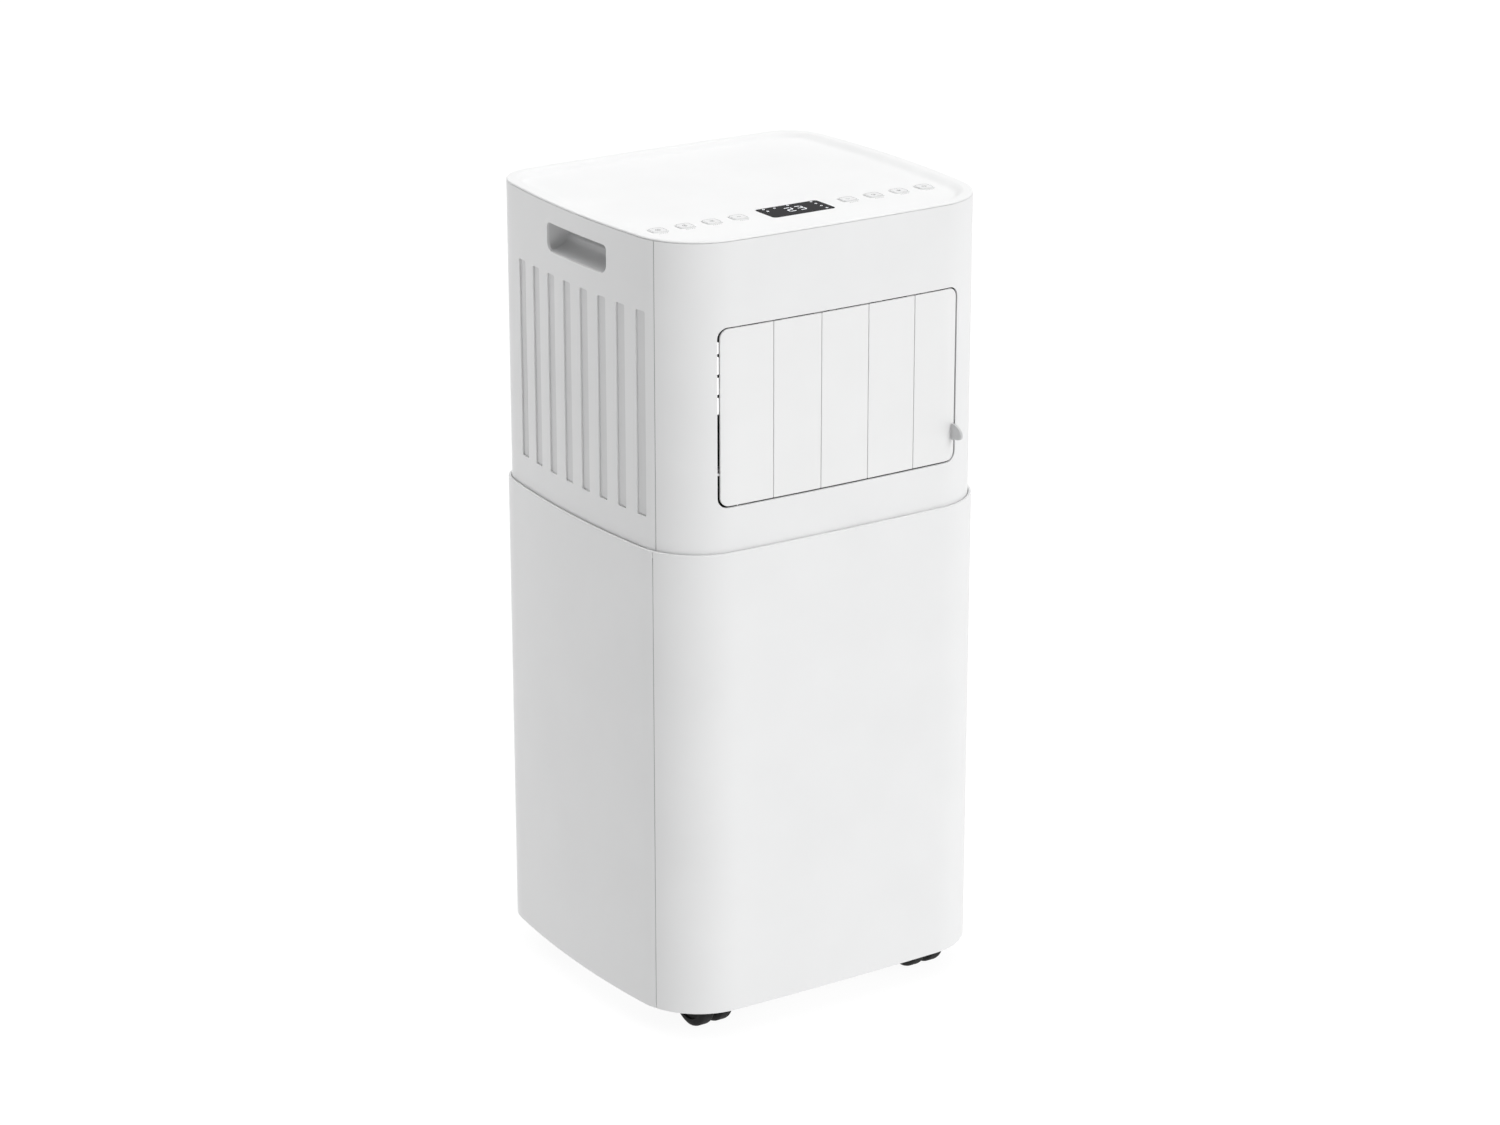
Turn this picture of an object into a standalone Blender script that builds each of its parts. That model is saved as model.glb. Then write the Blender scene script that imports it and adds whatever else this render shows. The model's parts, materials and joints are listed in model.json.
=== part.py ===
"""A portable air conditioner on casters.

Metres, +Z up, the front faces -Y, and the casters stand on z = 0. The constants below are in
millimetres, and MM turns them into metres where a mesh or a curve is made.
"""

import math

import bmesh
import bpy
from mathutils import Vector

MM = 0.001

# The body's outline from above: arcs that meet tangentially. An inset is measured inwards from it.
HALF_WIDTH = 164.5
HALF_DEPTH = 148.2
FACE_RADIUS = 3750.0
SIDE_RADIUS = 913.0
FRONT_CORNER = 58.0
REAR_CORNER = 38.0
FACE_STEPS = 2
CORNER_STEPS = 4
SIDE_STEPS = 6

# Heights of the shells.
SHELL_BOTTOM = 25.0
WAIST = 434.5
SIDE_TOP = 695.0
TRAY_TOP = 692.25

# The shells: the lower one stands LOWER_STEP outside the upper one and ends in a ledge.
WALL = 2.5
GAP = 0.4
SEAM = 0.8
LOWER_STEP = 3.0
LEDGE_DEPTH = 6.0
FRONT_SEAM_Y = -110.3
BACK_SEAM_X = 112.0
INNER_FIT = 1.2
REACH = 159.5
THROUGH = 12.0

# The air outlet in the upper front panel, and its five turning blades.
OUTLET_HALF_WIDTH = 117.5
OUTLET_BOTTOM = 472.4
OUTLET_TOP = 624.2
OUTLET_CORNER = 9.0
BLADES = 5
BLADE_PITCH = 46.1
BLADE_FIRST_LINE = -111.6
BLADE_RIGHT_END = 116.3
BLADE_LEFT_END = -115.5
BLADE_RECESS = 0.6
BLADE_THICK = 2.2
BLADE_BACK = 4.5
BLADE_LAP = 5.0
BLADE_JOIN = 3.4
BLADE_EDGE_GAP = 1.2
PIVOT_FROM_LINE = 14.0
PIVOT_RADIUS = 1.6
PIVOT_LENGTH = 4.5
PIVOT_HOLE = 1.85
CRANK_X = -22.0
CRANK_Y = 7.0
CRANK_Z = 500.0
CRANK_PIN = 1.2
LINK_HOLE = 1.6
CRANK_THICK = 2.0
LINK_HALF_WIDTH = 2.6
LINK_END = 3.5
SHAFT_RADIUS = 2.6
FRAME_HALF_WIDTH = 128.5
FRAME_BACK_Y = -110.0
FRAME_WALL = 5.3
DUCT_HALF_WIDTH = 126.0

# The grey tab on the last blade.
TAB_X = 113.0
TAB_BOTTOM = 491.0
TAB_TOP = 506.0
TAB_THICK = 2.5
TAB_STEPS = 8

# The side intakes and the pocket handles.
SLOTS = 8
SLOT_PITCH = 26.55
SLOT_WIDTH = 11.8
SLOT_CENTRE_Y = -2.1
SLOT_BOTTOM = 461.5
SLOT_TOP = 634.5
HANDLE_Y = (-48.9, 43.0)
HANDLE_Z = (654.0, 677.0)
POCKET_DEPTH = 24.5

# The key row and the display window in the tray.
KEY_ROW_Y = -77.9
KEY_COLUMNS = (54.0, 79.7, 105.3, 131.0)
KEY_SIZE = 14.0
KEY_FLANGE = 17.0
KEY_FLANGE_TOP = 4.2
KEY_FLANGE_THICK = 2.0
KEY_PROUD = 0.6
KEY_CORNER_SHARE = 0.22
BOARD_Z = (679.0, 680.6)
BOARD_MARGIN = 10.0
WINDOW_SIZE = (60.6, 30.0)
WINDOW_Y = -80.4

# The top cover's rim and skirt.
RIM_RISE = 1.6
RIM_CHAMFER = 1.0
RIM_WIDTH = 8.5
TRAY_EDGE = 18.0
SKIRT_DROP = 10.5
SKIRT_THICK = 2.2

# The casters: a swivelling body with a pair of wheels on one axle behind its stem.
CASTER_X = 110.0
CASTER_Y = 92.0
CASTER_TRAIL = 16.0
WHEEL_RADIUS = 25.0
WHEEL_OUTSIDE = 16.0
WHEEL_INSIDE = 3.0
WELL_RADIUS = 45.0
WELL_TOP = 77.0
WELL_WALL = 2.0
STEM_HOLE = 6.3
PAN_FLOOR = 29.0
PAN_THICK = 3.0
PAN_RIM = 9.0
HOOD_GAP = 2.5
HOOD_THICK = 5.0
HOOD_HALF_WIDTH = 15.5
WEB_HALF_WIDTH = 2.2
AXLE_BORE = 3.4
AXLE_RADIUS = 3.0

# The back: filter door, drain caps, exhaust collar, condenser grille and the mains lead's gland.
DOOR_HALF_WIDTH = 95.0
DOOR_Z = (480.0, 640.0)
GRILLE_HALF_WIDTH = 95.0
GRILLE_Z = (70.0, 235.0)
COLLAR_Z = 340.0
COLLAR_BORE = 61.5
COLLAR_TUBE = 65.0
COLLAR_FLANGE = 72.0
GLAND = (85.0, 300.0)
DRAIN_UPPER = (-85.0, 453.0)
DRAIN_LOWER = (-60.0, 51.0)
DRAIN_HOLE = 8.5
DOOR_Y = (144.1, 146.9)
DOOR_SLOTS = 12
DOOR_SLOT_PITCH = 14.6
DOOR_SLOT_HALF = 4.2
GRIP_HALF_WIDTH = 18.0
GRILLE_Y = (146.9, 149.9)
GRILLE_SLATS = 13
SLAT_GAP_HALF = 3.4
GRILLE_FRAME = 8.0

# The two fans, both turning about an axis along Y.
BLOWER_Z = 548.0
EXHAUST_Z = 340.0
DISC_THICK = 3.0
HUB_RADIUS = 9.0
HUB_BORE = 4.4
MOTOR_SHAFT = 4.0

# Colour, roughness and metallic value of each finish.
FINISHES = {
    "white_shell": ((0.86, 0.86, 0.85), 0.42, 0.0),
    "white_louvre": ((0.85, 0.85, 0.85), 0.42, 0.0),
    "white_key": ((0.84, 0.85, 0.86), 0.4, 0.0),
    "white_intake": ((0.80, 0.80, 0.80), 0.5, 0.0),
    "grey_tab": ((0.36, 0.37, 0.38), 0.45, 0.0),
    "black_window": ((0.015, 0.015, 0.017), 0.12, 0.0),
    "black_caster": ((0.02, 0.02, 0.02), 0.5, 0.0),
    "filter_net": ((0.12, 0.13, 0.14), 0.8, 0.0),
    "rubber_cap": ((0.05, 0.05, 0.05), 0.7, 0.0),
    "duct_plastic": ((0.30, 0.30, 0.31), 0.6, 0.0),
    "fin_aluminium": ((0.75, 0.76, 0.77), 0.35, 1.0),
    "copper_pipe": ((0.72, 0.38, 0.22), 0.3, 1.0),
    "compressor_paint": ((0.03, 0.03, 0.03), 0.35, 0.0),
    "motor_steel": ((0.55, 0.56, 0.57), 0.4, 1.0),
    "circuit_board": ((0.03, 0.18, 0.08), 0.4, 0.0),
}


# ---------------------------------------------------------------- helpers


def clear_scene():
    for obj in list(bpy.data.objects):
        bpy.data.objects.remove(obj, do_unlink=True)


def finish_material(finish):
    """The Principled BSDF material of a finish, made on first use."""
    found = bpy.data.materials.get(finish)
    if found:
        return found
    colour, roughness, metallic = FINISHES[finish]
    made = bpy.data.materials.new(finish)
    made.use_nodes = True
    shader = made.node_tree.nodes["Principled BSDF"]
    shader.inputs["Base Color"].default_value = (*colour, 1.0)
    shader.inputs["Roughness"].default_value = roughness
    shader.inputs["Metallic"].default_value = metallic
    return made


def solid(name, points, faces, finish, origin=(0, 0, 0)):
    """A mesh object from points in millimetres, with its origin at a joint axis where it has one."""
    base = Vector(origin)
    shape = bmesh.new()
    verts = [shape.verts.new((Vector(point) - base) * MM) for point in points]
    for face in faces:
        shape.faces.new([verts[i] for i in face])
    bmesh.ops.recalc_face_normals(shape, faces=shape.faces)
    mesh = bpy.data.meshes.new(name)
    shape.to_mesh(mesh)
    shape.free()
    mesh.materials.append(finish_material(finish))
    mesh.shade_smooth()
    mesh.set_sharp_from_angle(angle=math.radians(35))
    obj = bpy.data.objects.new(name, mesh)
    obj.location = base * MM
    bpy.context.scene.collection.objects.link(obj)
    return obj


def loft(name, rings, finish, origin=(0, 0, 0), closed=False):
    """A solid through rings of equal length, capped at both ends unless it closes on itself."""
    count = len(rings[0])
    points = [point for ring in rings for point in ring]
    faces = []
    for i in range(len(rings) if closed else len(rings) - 1):
        low = i * count
        high = (i + 1) % len(rings) * count
        for j in range(count):
            k = (j + 1) % count
            faces.append((low + j, low + k, high + k, high + j))
    if not closed:
        faces.append(tuple(range(count)))
        faces.append(tuple(range(len(points) - count, len(points))))
    return solid(name, points, faces, finish, origin)


def on_axis(axis, across, along):
    """The point at across, in the plane normal to the axis, and along, on the axis."""
    u, v = across
    return {"X": (along, u, v), "Y": (u, along, v), "Z": (u, v, along)}[axis]


def prism(name, outline, axis, low, high, finish, origin=(0, 0, 0)):
    """A flat outline carried straight along an axis."""
    rings = [[on_axis(axis, point, end) for point in outline] for end in (low, high)]
    return loft(name, rings, finish, origin)


def circle(centre, radius, steps):
    """Points of a circle, the first one straight below the centre."""
    turn = 2 * math.pi / steps
    return [
        (centre[0] + radius * math.sin(i * turn), centre[1] - radius * math.cos(i * turn))
        for i in range(steps)
    ]


def turned(name, profile, axis, centre, finish, steps=24, origin=(0, 0, 0), closed=False):
    """A round solid: profile lists (position along the axis, radius), and closed makes it a ring."""
    rings = [
        [on_axis(axis, point, along) for point in circle(centre, radius, steps)]
        for along, radius in profile
    ]
    return loft(name, rings, finish, origin, closed)


def rectangle(low, high, radius=0.0, steps=1):
    """A rectangle from its low corner to its high one, with round corners if it has a radius."""
    if not radius:
        return [low, (high[0], low[1]), high, (low[0], high[1])]
    middles = [
        (high[0] - radius, low[1] + radius, -90),
        (high[0] - radius, high[1] - radius, 0),
        (low[0] + radius, high[1] - radius, 90),
        (low[0] + radius, low[1] + radius, 180),
    ]
    points = []
    for x, y, start in middles:
        for i in range(steps + 1):
            angle = math.radians(start + 90 * i / steps)
            points.append((x + radius * math.cos(angle), y + radius * math.sin(angle)))
    return points


def box(name, low, high, finish, origin=(0, 0, 0)):
    return prism(name, rectangle(low[:2], high[:2]), "Z", low[2], high[2], finish, origin)


def tool(obj):
    """Marks a helper that shapes another object and isn't a piece itself."""
    obj.hide_render = True
    obj.display_type = "WIRE"
    return obj


def boolean(obj, other, operation):
    modifier = obj.modifiers.new(f"{operation.lower()} {other.name}", "BOOLEAN")
    modifier.operation = operation
    modifier.object = tool(other)


def keep_inside(obj, other):
    boolean(obj, other, "INTERSECT")


def cut(obj, *cutters):
    for cutter in cutters:
        boolean(obj, cutter, "DIFFERENCE")


def join(obj, *others):
    for other in others:
        boolean(obj, other, "UNION")


def tube(name, route, radius, finish):
    """A round pipe along a smooth curve through the route's points, with closed ends."""
    curve = bpy.data.curves.new(name, "CURVE")
    curve.dimensions = "3D"
    curve.bevel_depth = radius * MM
    curve.bevel_resolution = 1
    curve.resolution_u = 3
    curve.use_fill_caps = True
    spline = curve.splines.new("BEZIER")
    spline.bezier_points.add(len(route) - 1)
    for knot, point in zip(spline.bezier_points, route):
        knot.co = Vector(point) * MM
        knot.handle_left_type = "AUTO"
        knot.handle_right_type = "AUTO"
    curve.materials.append(finish_material(finish))
    obj = bpy.data.objects.new(name, curve)
    bpy.context.scene.collection.objects.link(obj)
    return obj


# ---------------------------------------------------------------- the outline


def corner_centre(face, side, radius):
    """Centre of the right-hand corner circle that touches both the face arc and the side arc."""
    to_face = FACE_RADIUS - radius
    to_side = SIDE_RADIUS - radius
    across = side - face
    along = (to_face**2 - to_side**2 + across.length**2) / (2 * across.length)
    off = math.sqrt(to_face**2 - along**2)
    middle = face + across.normalized() * along
    sideways = Vector((-across.y, across.x)).normalized() * off
    return max(middle + sideways, middle - sideways, key=lambda point: point.x)


def heading(start, end):
    return math.atan2(end.y - start.y, end.x - start.x)


def plan_arcs():
    """The right half of the outline, front to back: each arc's centre, radius, start and end angle."""
    front = Vector((0, FACE_RADIUS - HALF_DEPTH))
    back = -front
    side = Vector((HALF_WIDTH - SIDE_RADIUS, 0))
    near = corner_centre(front, side, FRONT_CORNER)
    far = corner_centre(back, side, REAR_CORNER)
    turns = [
        -math.pi / 2,
        heading(front, near),
        heading(side, near),
        heading(side, far),
        heading(back, far),
        math.pi / 2,
    ]
    centres = [front, near, side, far, back]
    radii = [FACE_RADIUS, FRONT_CORNER, SIDE_RADIUS, REAR_CORNER, FACE_RADIUS]
    return list(zip(centres, radii, turns, turns[1:]))


FRONT_FACE, FRONT_TURN, SIDE, REAR_TURN, BACK_FACE = plan_arcs()


def arc(piece, inset, steps, start=None, end=None):
    """Points along one of the outline's arcs, moved inwards by inset."""
    centre, radius, first, last = piece
    first = first if start is None else start
    last = last if end is None else end
    angles = [first + (last - first) * i / steps for i in range(steps + 1)]
    reach = radius - inset
    return [(centre.x + reach * math.cos(a), centre.y + reach * math.sin(a)) for a in angles]


def mirrored(points):
    return [(-x, y) for x, y in reversed(points)]


def seam_angle(inset, y):
    """Where the front corner's arc crosses the plane at this y."""
    centre, radius, _, _ = FRONT_TURN
    return math.asin((y - centre.y) / (radius - inset))


def back_angle(inset, x):
    """Where the back face's arc crosses the plane at this x."""
    return math.acos(x / (BACK_FACE[1] - inset))


def side_angle(inset, y):
    """Where the side's arc crosses the plane at this y."""
    return math.asin(y / (SIDE[1] - inset))


def whole_outline(inset):
    half = arc(FRONT_FACE, inset, FACE_STEPS)
    half += arc(FRONT_TURN, inset, CORNER_STEPS)[1:]
    half += arc(SIDE, inset, SIDE_STEPS)[1:]
    half += arc(REAR_TURN, inset, CORNER_STEPS)[1:]
    half += arc(BACK_FACE, inset, FACE_STEPS)[1:]
    return half + mirrored(half)[1:-1]


def front_path(inset):
    """Round the front, from one side seam to the other."""
    end = seam_angle(inset, FRONT_SEAM_Y - SEAM / 2)
    half = arc(FRONT_FACE, inset, FACE_STEPS)
    half += arc(FRONT_TURN, inset, CORNER_STEPS, end=end)[1:]
    return mirrored(half)[:-1] + half


def side_path(inset):
    """Along the right side and round the rear corner, from the front seam to the back seam."""
    start = seam_angle(inset, FRONT_SEAM_Y + SEAM / 2)
    end = back_angle(inset, BACK_SEAM_X + SEAM / 2)
    path = arc(FRONT_TURN, inset, 2, start=start)
    path += arc(SIDE, inset, SIDE_STEPS)[1:]
    path += arc(REAR_TURN, inset, CORNER_STEPS)[1:]
    path += arc(BACK_FACE, inset, 1, end=end)[1:]
    return path


def left_side_path(inset):
    return mirrored(side_path(inset))


def back_path(inset):
    """Across the back between the two back seams."""
    half = arc(BACK_FACE, inset, FACE_STEPS, start=back_angle(inset, BACK_SEAM_X - SEAM / 2))
    return half + mirrored(half)[1:]


def front_y(x, inset=0.0):
    """The outline's y at this x on its front side, along the face and round the corner."""
    turn = FRONT_TURN[0]
    if abs(x) > turn.x:
        return turn.y - math.sqrt((FRONT_CORNER - inset) ** 2 - (abs(x) - turn.x) ** 2)
    return FRONT_FACE[0].y - math.sqrt((FACE_RADIUS - inset) ** 2 - x**2)


def back_y(x):
    """The back face's y at this x."""
    return math.sqrt(FACE_RADIUS**2 - x**2) - FRONT_FACE[0].y


def panel(name, path, section, finish):
    """A wall that follows a path, with its section given as (inset, z) points."""
    tracks = {inset: path(inset) for inset, _ in section}
    stations = range(len(tracks[section[0][0]]))
    rings = [[(*tracks[inset][i], z) for inset, z in section] for i in stations]
    return loft(name, rings, finish)


# ---------------------------------------------------------------- shells


def lower_section():
    outer = -LOWER_STEP
    inner = WALL - LOWER_STEP
    return [
        (outer, SHELL_BOTTOM),
        (outer, WAIST),
        (LEDGE_DEPTH, WAIST),
        (LEDGE_DEPTH, WAIST - WALL),
        (inner, WAIST - WALL),
        (inner, SHELL_BOTTOM),
    ]


def upper_section():
    low = WAIST + GAP
    high = SIDE_TOP - GAP
    return [(0.0, low), (0.0, high), (WALL, high), (WALL, low)]


def back_hole(name, centre, radius, steps=16):
    """A cutter for a round hole through the back wall."""
    low = HALF_DEPTH - THROUGH
    high = HALF_DEPTH + THROUGH
    return turned(name, [(low, radius), (high, radius)], "Y", centre, "white_shell", steps)


def back_window(name, half_width, z_span, clearance):
    """A cutter for a rectangular opening through the back wall."""
    low = (-half_width - clearance, z_span[0] - clearance)
    high = (half_width + clearance, z_span[1] + clearance)
    outline = rectangle(low, high, 6.0)
    return prism(name, outline, "Y", HALF_DEPTH - THROUGH, HALF_DEPTH + THROUGH, "white_shell")


def lower_panels():
    section = lower_section()
    panel("lower_front_panel", front_path, section, "white_shell")
    panel("lower_side_panel_right", side_path, section, "white_shell")
    panel("lower_side_panel_left", left_side_path, section, "white_shell")
    back = panel("lower_back_panel", back_path, section, "white_shell")
    cut(
        back,
        back_window("grille_opening", GRILLE_HALF_WIDTH, GRILLE_Z, GAP),
        back_hole("collar_opening", (0.0, COLLAR_Z), COLLAR_TUBE + GAP, 28),
        back_hole("gland_opening", GLAND, 8.2),
        back_hole("lower_drain_opening", DRAIN_LOWER, DRAIN_HOLE),
    )


def upper_front_panel():
    front = panel("upper_front_panel", front_path, upper_section(), "white_shell")
    outline = rectangle(
        (-OUTLET_HALF_WIDTH, OUTLET_BOTTOM), (OUTLET_HALF_WIDTH, OUTLET_TOP), OUTLET_CORNER, 2
    )
    low = -HALF_DEPTH - THROUGH
    high = -HALF_DEPTH + THROUGH
    cut(front, prism("outlet_opening", outline, "Y", low, high, "white_shell"))


def side_cutter(name, y_span, z_span, radius, side):
    """A cutter through one side wall."""
    outline = rectangle((y_span[0], z_span[0]), (y_span[1], z_span[1]), radius)
    ends = sorted((side * (HALF_WIDTH - THROUGH), side * (HALF_WIDTH + THROUGH)))
    return prism(name, outline, "X", *ends, "white_shell")


def slot_centres():
    """The y of each intake slot, front to back."""
    return [SLOT_CENTRE_Y + (i - (SLOTS - 1) / 2) * SLOT_PITCH for i in range(SLOTS)]


def upper_side_panel(label, path, side):
    wall = panel(f"upper_side_panel_{label}", path, upper_section(), "white_shell")
    for i, y in enumerate(slot_centres()):
        span = (y - SLOT_WIDTH / 2, y + SLOT_WIDTH / 2)
        cut(wall, side_cutter(f"slot_{label}_{i}", span, (SLOT_BOTTOM, SLOT_TOP), 2.0, side))
    cut(wall, side_cutter(f"handle_opening_{label}", HANDLE_Y, HANDLE_Z, 5.0, side))


def upper_back_panel():
    back = panel("upper_back_panel", back_path, upper_section(), "white_shell")
    cut(
        back,
        back_window("door_opening", DOOR_HALF_WIDTH, DOOR_Z, 0.6),
        back_hole("upper_drain_opening", DRAIN_UPPER, DRAIN_HOLE),
    )


def key_centres():
    """The x of each key, left to right."""
    return [-x for x in reversed(KEY_COLUMNS)] + list(KEY_COLUMNS)


def centred_square(x, y, size, radius):
    return rectangle((x - size / 2, y - size / 2), (x + size / 2, y + size / 2), radius)


def tray_cutter(name, outline):
    """A cutter through the tray of the top cover."""
    return prism(name, outline, "Z", TRAY_TOP - WALL - 5, TRAY_TOP + 5, "white_shell")


def top_cover():
    """The lid: a rounded rim round a sunken tray, and a skirt that drops inside the panels."""
    underside = TRAY_TOP - WALL
    skirt_low = SIDE_TOP - SKIRT_DROP
    rim_top = SIDE_TOP + RIM_RISE
    skirt = WALL + INNER_FIT
    section = [
        (TRAY_EDGE + 2.0, underside),
        (skirt + SKIRT_THICK, underside),
        (skirt + SKIRT_THICK, skirt_low),
        (skirt, skirt_low),
        (skirt, SIDE_TOP),
        (0.0, SIDE_TOP),
        (RIM_CHAMFER, rim_top),
        (RIM_WIDTH, rim_top),
        (TRAY_EDGE, TRAY_TOP),
    ]
    rings = [[(*point, z) for point in whole_outline(inset)] for inset, z in section]
    cover = loft("top_cover", rings, "white_shell")
    for i, x in enumerate(key_centres()):
        outline = centred_square(x, KEY_ROW_Y, KEY_SIZE + 2 * GAP, 3.4)
        cut(cover, tray_cutter(f"key_opening_{i}", outline))
    half = (WINDOW_SIZE[0] / 2 + GAP, WINDOW_SIZE[1] / 2 + GAP)
    outline = rectangle((-half[0], WINDOW_Y - half[1]), (half[0], WINDOW_Y + half[1]), 1.6)
    cut(cover, tray_cutter("window_opening", outline))


def base_pan():
    """The floor that everything stands on, with a low rim and a round well over each caster."""
    rim_top = PAN_FLOOR + PAN_RIM
    pan_low = PAN_FLOOR - PAN_THICK
    edge = INNER_FIT
    section = [(edge + 2, PAN_FLOOR), (edge + 2, rim_top), (edge, rim_top), (edge, pan_low)]
    rings = [[(*point, z) for point in whole_outline(inset)] for inset, z in section]
    pan = loft("base_pan", rings, "duct_plastic")
    for label, x, y in caster_places():
        outside = WELL_RADIUS + WELL_WALL
        well = [(pan_low, outside), (WELL_TOP + PAN_THICK, outside)]
        room = [(PAN_FLOOR - 10, WELL_RADIUS), (WELL_TOP, WELL_RADIUS)]
        stem = [(WELL_TOP - 5, STEM_HOLE), (WELL_TOP + 8, STEM_HOLE)]
        join(pan, turned(f"well_{label}", well, "Z", (x, y), "duct_plastic", 20))
        cut(pan, turned(f"well_room_{label}", room, "Z", (x, y), "duct_plastic", 20))
        cut(pan, turned(f"stem_hole_{label}", stem, "Z", (x, y), "duct_plastic", 10))


def handle_cup(label, side):
    """A pocket behind the side panel: its floor rises inwards, and it opens upwards for the fingers."""
    front = HALF_WIDTH - 4.6
    back = HALF_WIDTH - POCKET_DEPTH
    low_z, high_z = HANDLE_Z[0] - 1.0, HANDLE_Z[1] + 4.0
    low_y, high_y = HANDLE_Y[0] - 1.0, HANDLE_Y[1] + 1.0
    outline = rectangle((side * (back - 2.0), low_z - 4.5), (side * front, high_z + 2.0))
    cup = prism(f"handle_cup_{label}", outline, "Y", low_y - 3.0, high_y + 3.0, "white_shell")
    room = [
        (side * (front + THROUGH), low_z - 2.0),
        (side * back, low_z + 5.0),
        (side * back, high_z),
        (side * (front + THROUGH), high_z),
    ]
    cut(cup, prism(f"pocket_{label}", room, "Y", low_y, high_y, "white_shell"))


def intake_screen(label, side):
    """The slatted intake's backing, a thin curved sheet just inside the side wall."""
    def path(inset):
        start = seam_angle(inset, slot_centres()[0] - SLOT_WIDTH)
        end = side_angle(inset, slot_centres()[-1] + SLOT_WIDTH)
        points = arc(FRONT_TURN, inset, 1, start=start)
        points += arc(SIDE, inset, SIDE_STEPS, end=end)[1:]
        return points if side > 0 else mirrored(points)

    outer = WALL + GAP
    low = SLOT_BOTTOM - 5
    high = SLOT_TOP + 8
    section = [(outer, low), (outer, high), (outer + 1.5, high), (outer + 1.5, low)]
    panel(f"intake_screen_{label}", path, section, "white_intake")


# ---------------------------------------------------------------- controls


def display_window():
    half = (WINDOW_SIZE[0] / 2, WINDOW_SIZE[1] / 2)
    outline = rectangle((-half[0], WINDOW_Y - half[1]), (half[0], WINDOW_Y + half[1]), 1.2)
    prism("display_window", outline, "Z", TRAY_TOP - 2.2, TRAY_TOP + 0.2, "black_window")


def keys():
    """Eight push keys, each kept in the tray by a flange below it."""
    flange_high = TRAY_TOP - KEY_FLANGE_TOP
    flange_low = flange_high - KEY_FLANGE_THICK
    top = TRAY_TOP + KEY_PROUD
    for i, x in enumerate(key_centres()):
        levels = [
            (flange_low, KEY_FLANGE),
            (flange_high, KEY_FLANGE),
            (flange_high, KEY_SIZE),
            (top - 0.4, KEY_SIZE),
            (top, KEY_SIZE - 0.9),
        ]
        rings = [
            [(*point, z) for point in centred_square(x, KEY_ROW_Y, size, size * KEY_CORNER_SHARE)]
            for z, size in levels
        ]
        loft(f"key_{i + 1}", rings, "white_key", (x, KEY_ROW_Y, top))


def control_board():
    reach = max(KEY_COLUMNS) + BOARD_MARGIN
    low = (-reach, KEY_ROW_Y - 18, BOARD_Z[0])
    high = (reach, KEY_ROW_Y + 18, BOARD_Z[1])
    board = box("control_board", low, high, "circuit_board")
    for i, x in enumerate(key_centres()):
        switch = [(high[2] - 0.5, 3.0), (high[2] + 3.0, 3.0)]
        join(board, turned(f"switch_{i}", switch, "Z", (x, KEY_ROW_Y), "circuit_board", 6))


# ---------------------------------------------------------------- louvre


def blade_line(index):
    """The x of the joint line at a blade's left edge."""
    return BLADE_FIRST_LINE + index * BLADE_PITCH


def blade_front(x):
    return front_y(x) + BLADE_RECESS


def pivot(index):
    x = blade_line(index) + PIVOT_FROM_LINE
    return x, blade_front(x) + BLADE_BACK


def blade_outline(index):
    """The blade's section: a plate in the panel's face, and a strip behind its neighbour."""
    line = blade_line(index)
    right = min(blade_line(index + 1), BLADE_RIGHT_END)
    left = line + GAP if index else BLADE_LEFT_END
    middle = (left + right) / 2
    join_x = line + BLADE_JOIN
    plate = [(left, 0), (middle, 0), (right, 0), (right, BLADE_THICK), (middle, BLADE_THICK)]
    plate += [(join_x, BLADE_THICK), (join_x, BLADE_BACK)]
    if index:
        strip = BLADE_THICK + 0.5
        plate += [(line - BLADE_LAP, BLADE_BACK), (line - BLADE_LAP, strip), (left, strip)]
    else:
        plate += [(left, BLADE_BACK)]
    return [(x, blade_front(x) + depth) for x, depth in plate]


def louvre_blades():
    low = OUTLET_BOTTOM + BLADE_EDGE_GAP
    high = OUTLET_TOP - BLADE_EDGE_GAP
    corner = OUTLET_CORNER - BLADE_EDGE_GAP
    bounds = rectangle((BLADE_LEFT_END, low), (BLADE_RIGHT_END, high), corner, 2)
    for i in range(BLADES):
        x, y = pivot(i)
        origin = (x, y, low)
        name = f"louvre_blade_{i + 1}"
        blade = prism(name, blade_outline(i), "Z", low, high, "white_louvre", origin)
        shaft = [
            (low - PIVOT_LENGTH, PIVOT_RADIUS),
            (low, PIVOT_RADIUS),
            (low, SHAFT_RADIUS),
            (high, SHAFT_RADIUS),
            (high, PIVOT_RADIUS),
            (high + PIVOT_LENGTH, PIVOT_RADIUS),
        ]
        arm = [(-8.0, -1.0), (-8.0, 9.5), (-24.5, 9.5), (-24.5, 4.6), (-17.5, -1.0)]
        arm = [(x + along, y + depth) for along, depth in arm]
        pin = [(CRANK_Z + 1.0, CRANK_PIN), (CRANK_Z + 3 * CRANK_THICK, CRANK_PIN)]
        at = (x + CRANK_X, y + CRANK_Y)
        if i in (0, BLADES - 1):
            room = prism(f"blade_bounds_{i}", bounds, "Y", y - 20, y + 20, "white_louvre")
            keep_inside(blade, room)
        join(
            blade,
            turned(f"shaft_{i}", shaft, "Z", (x, y), "white_louvre", 8),
            prism(f"crank_{i}", arm, "Z", CRANK_Z, CRANK_Z + CRANK_THICK, "white_louvre"),
            turned(f"crank_pin_{i}", pin, "Z", at, "white_louvre", 8),
        )


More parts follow.
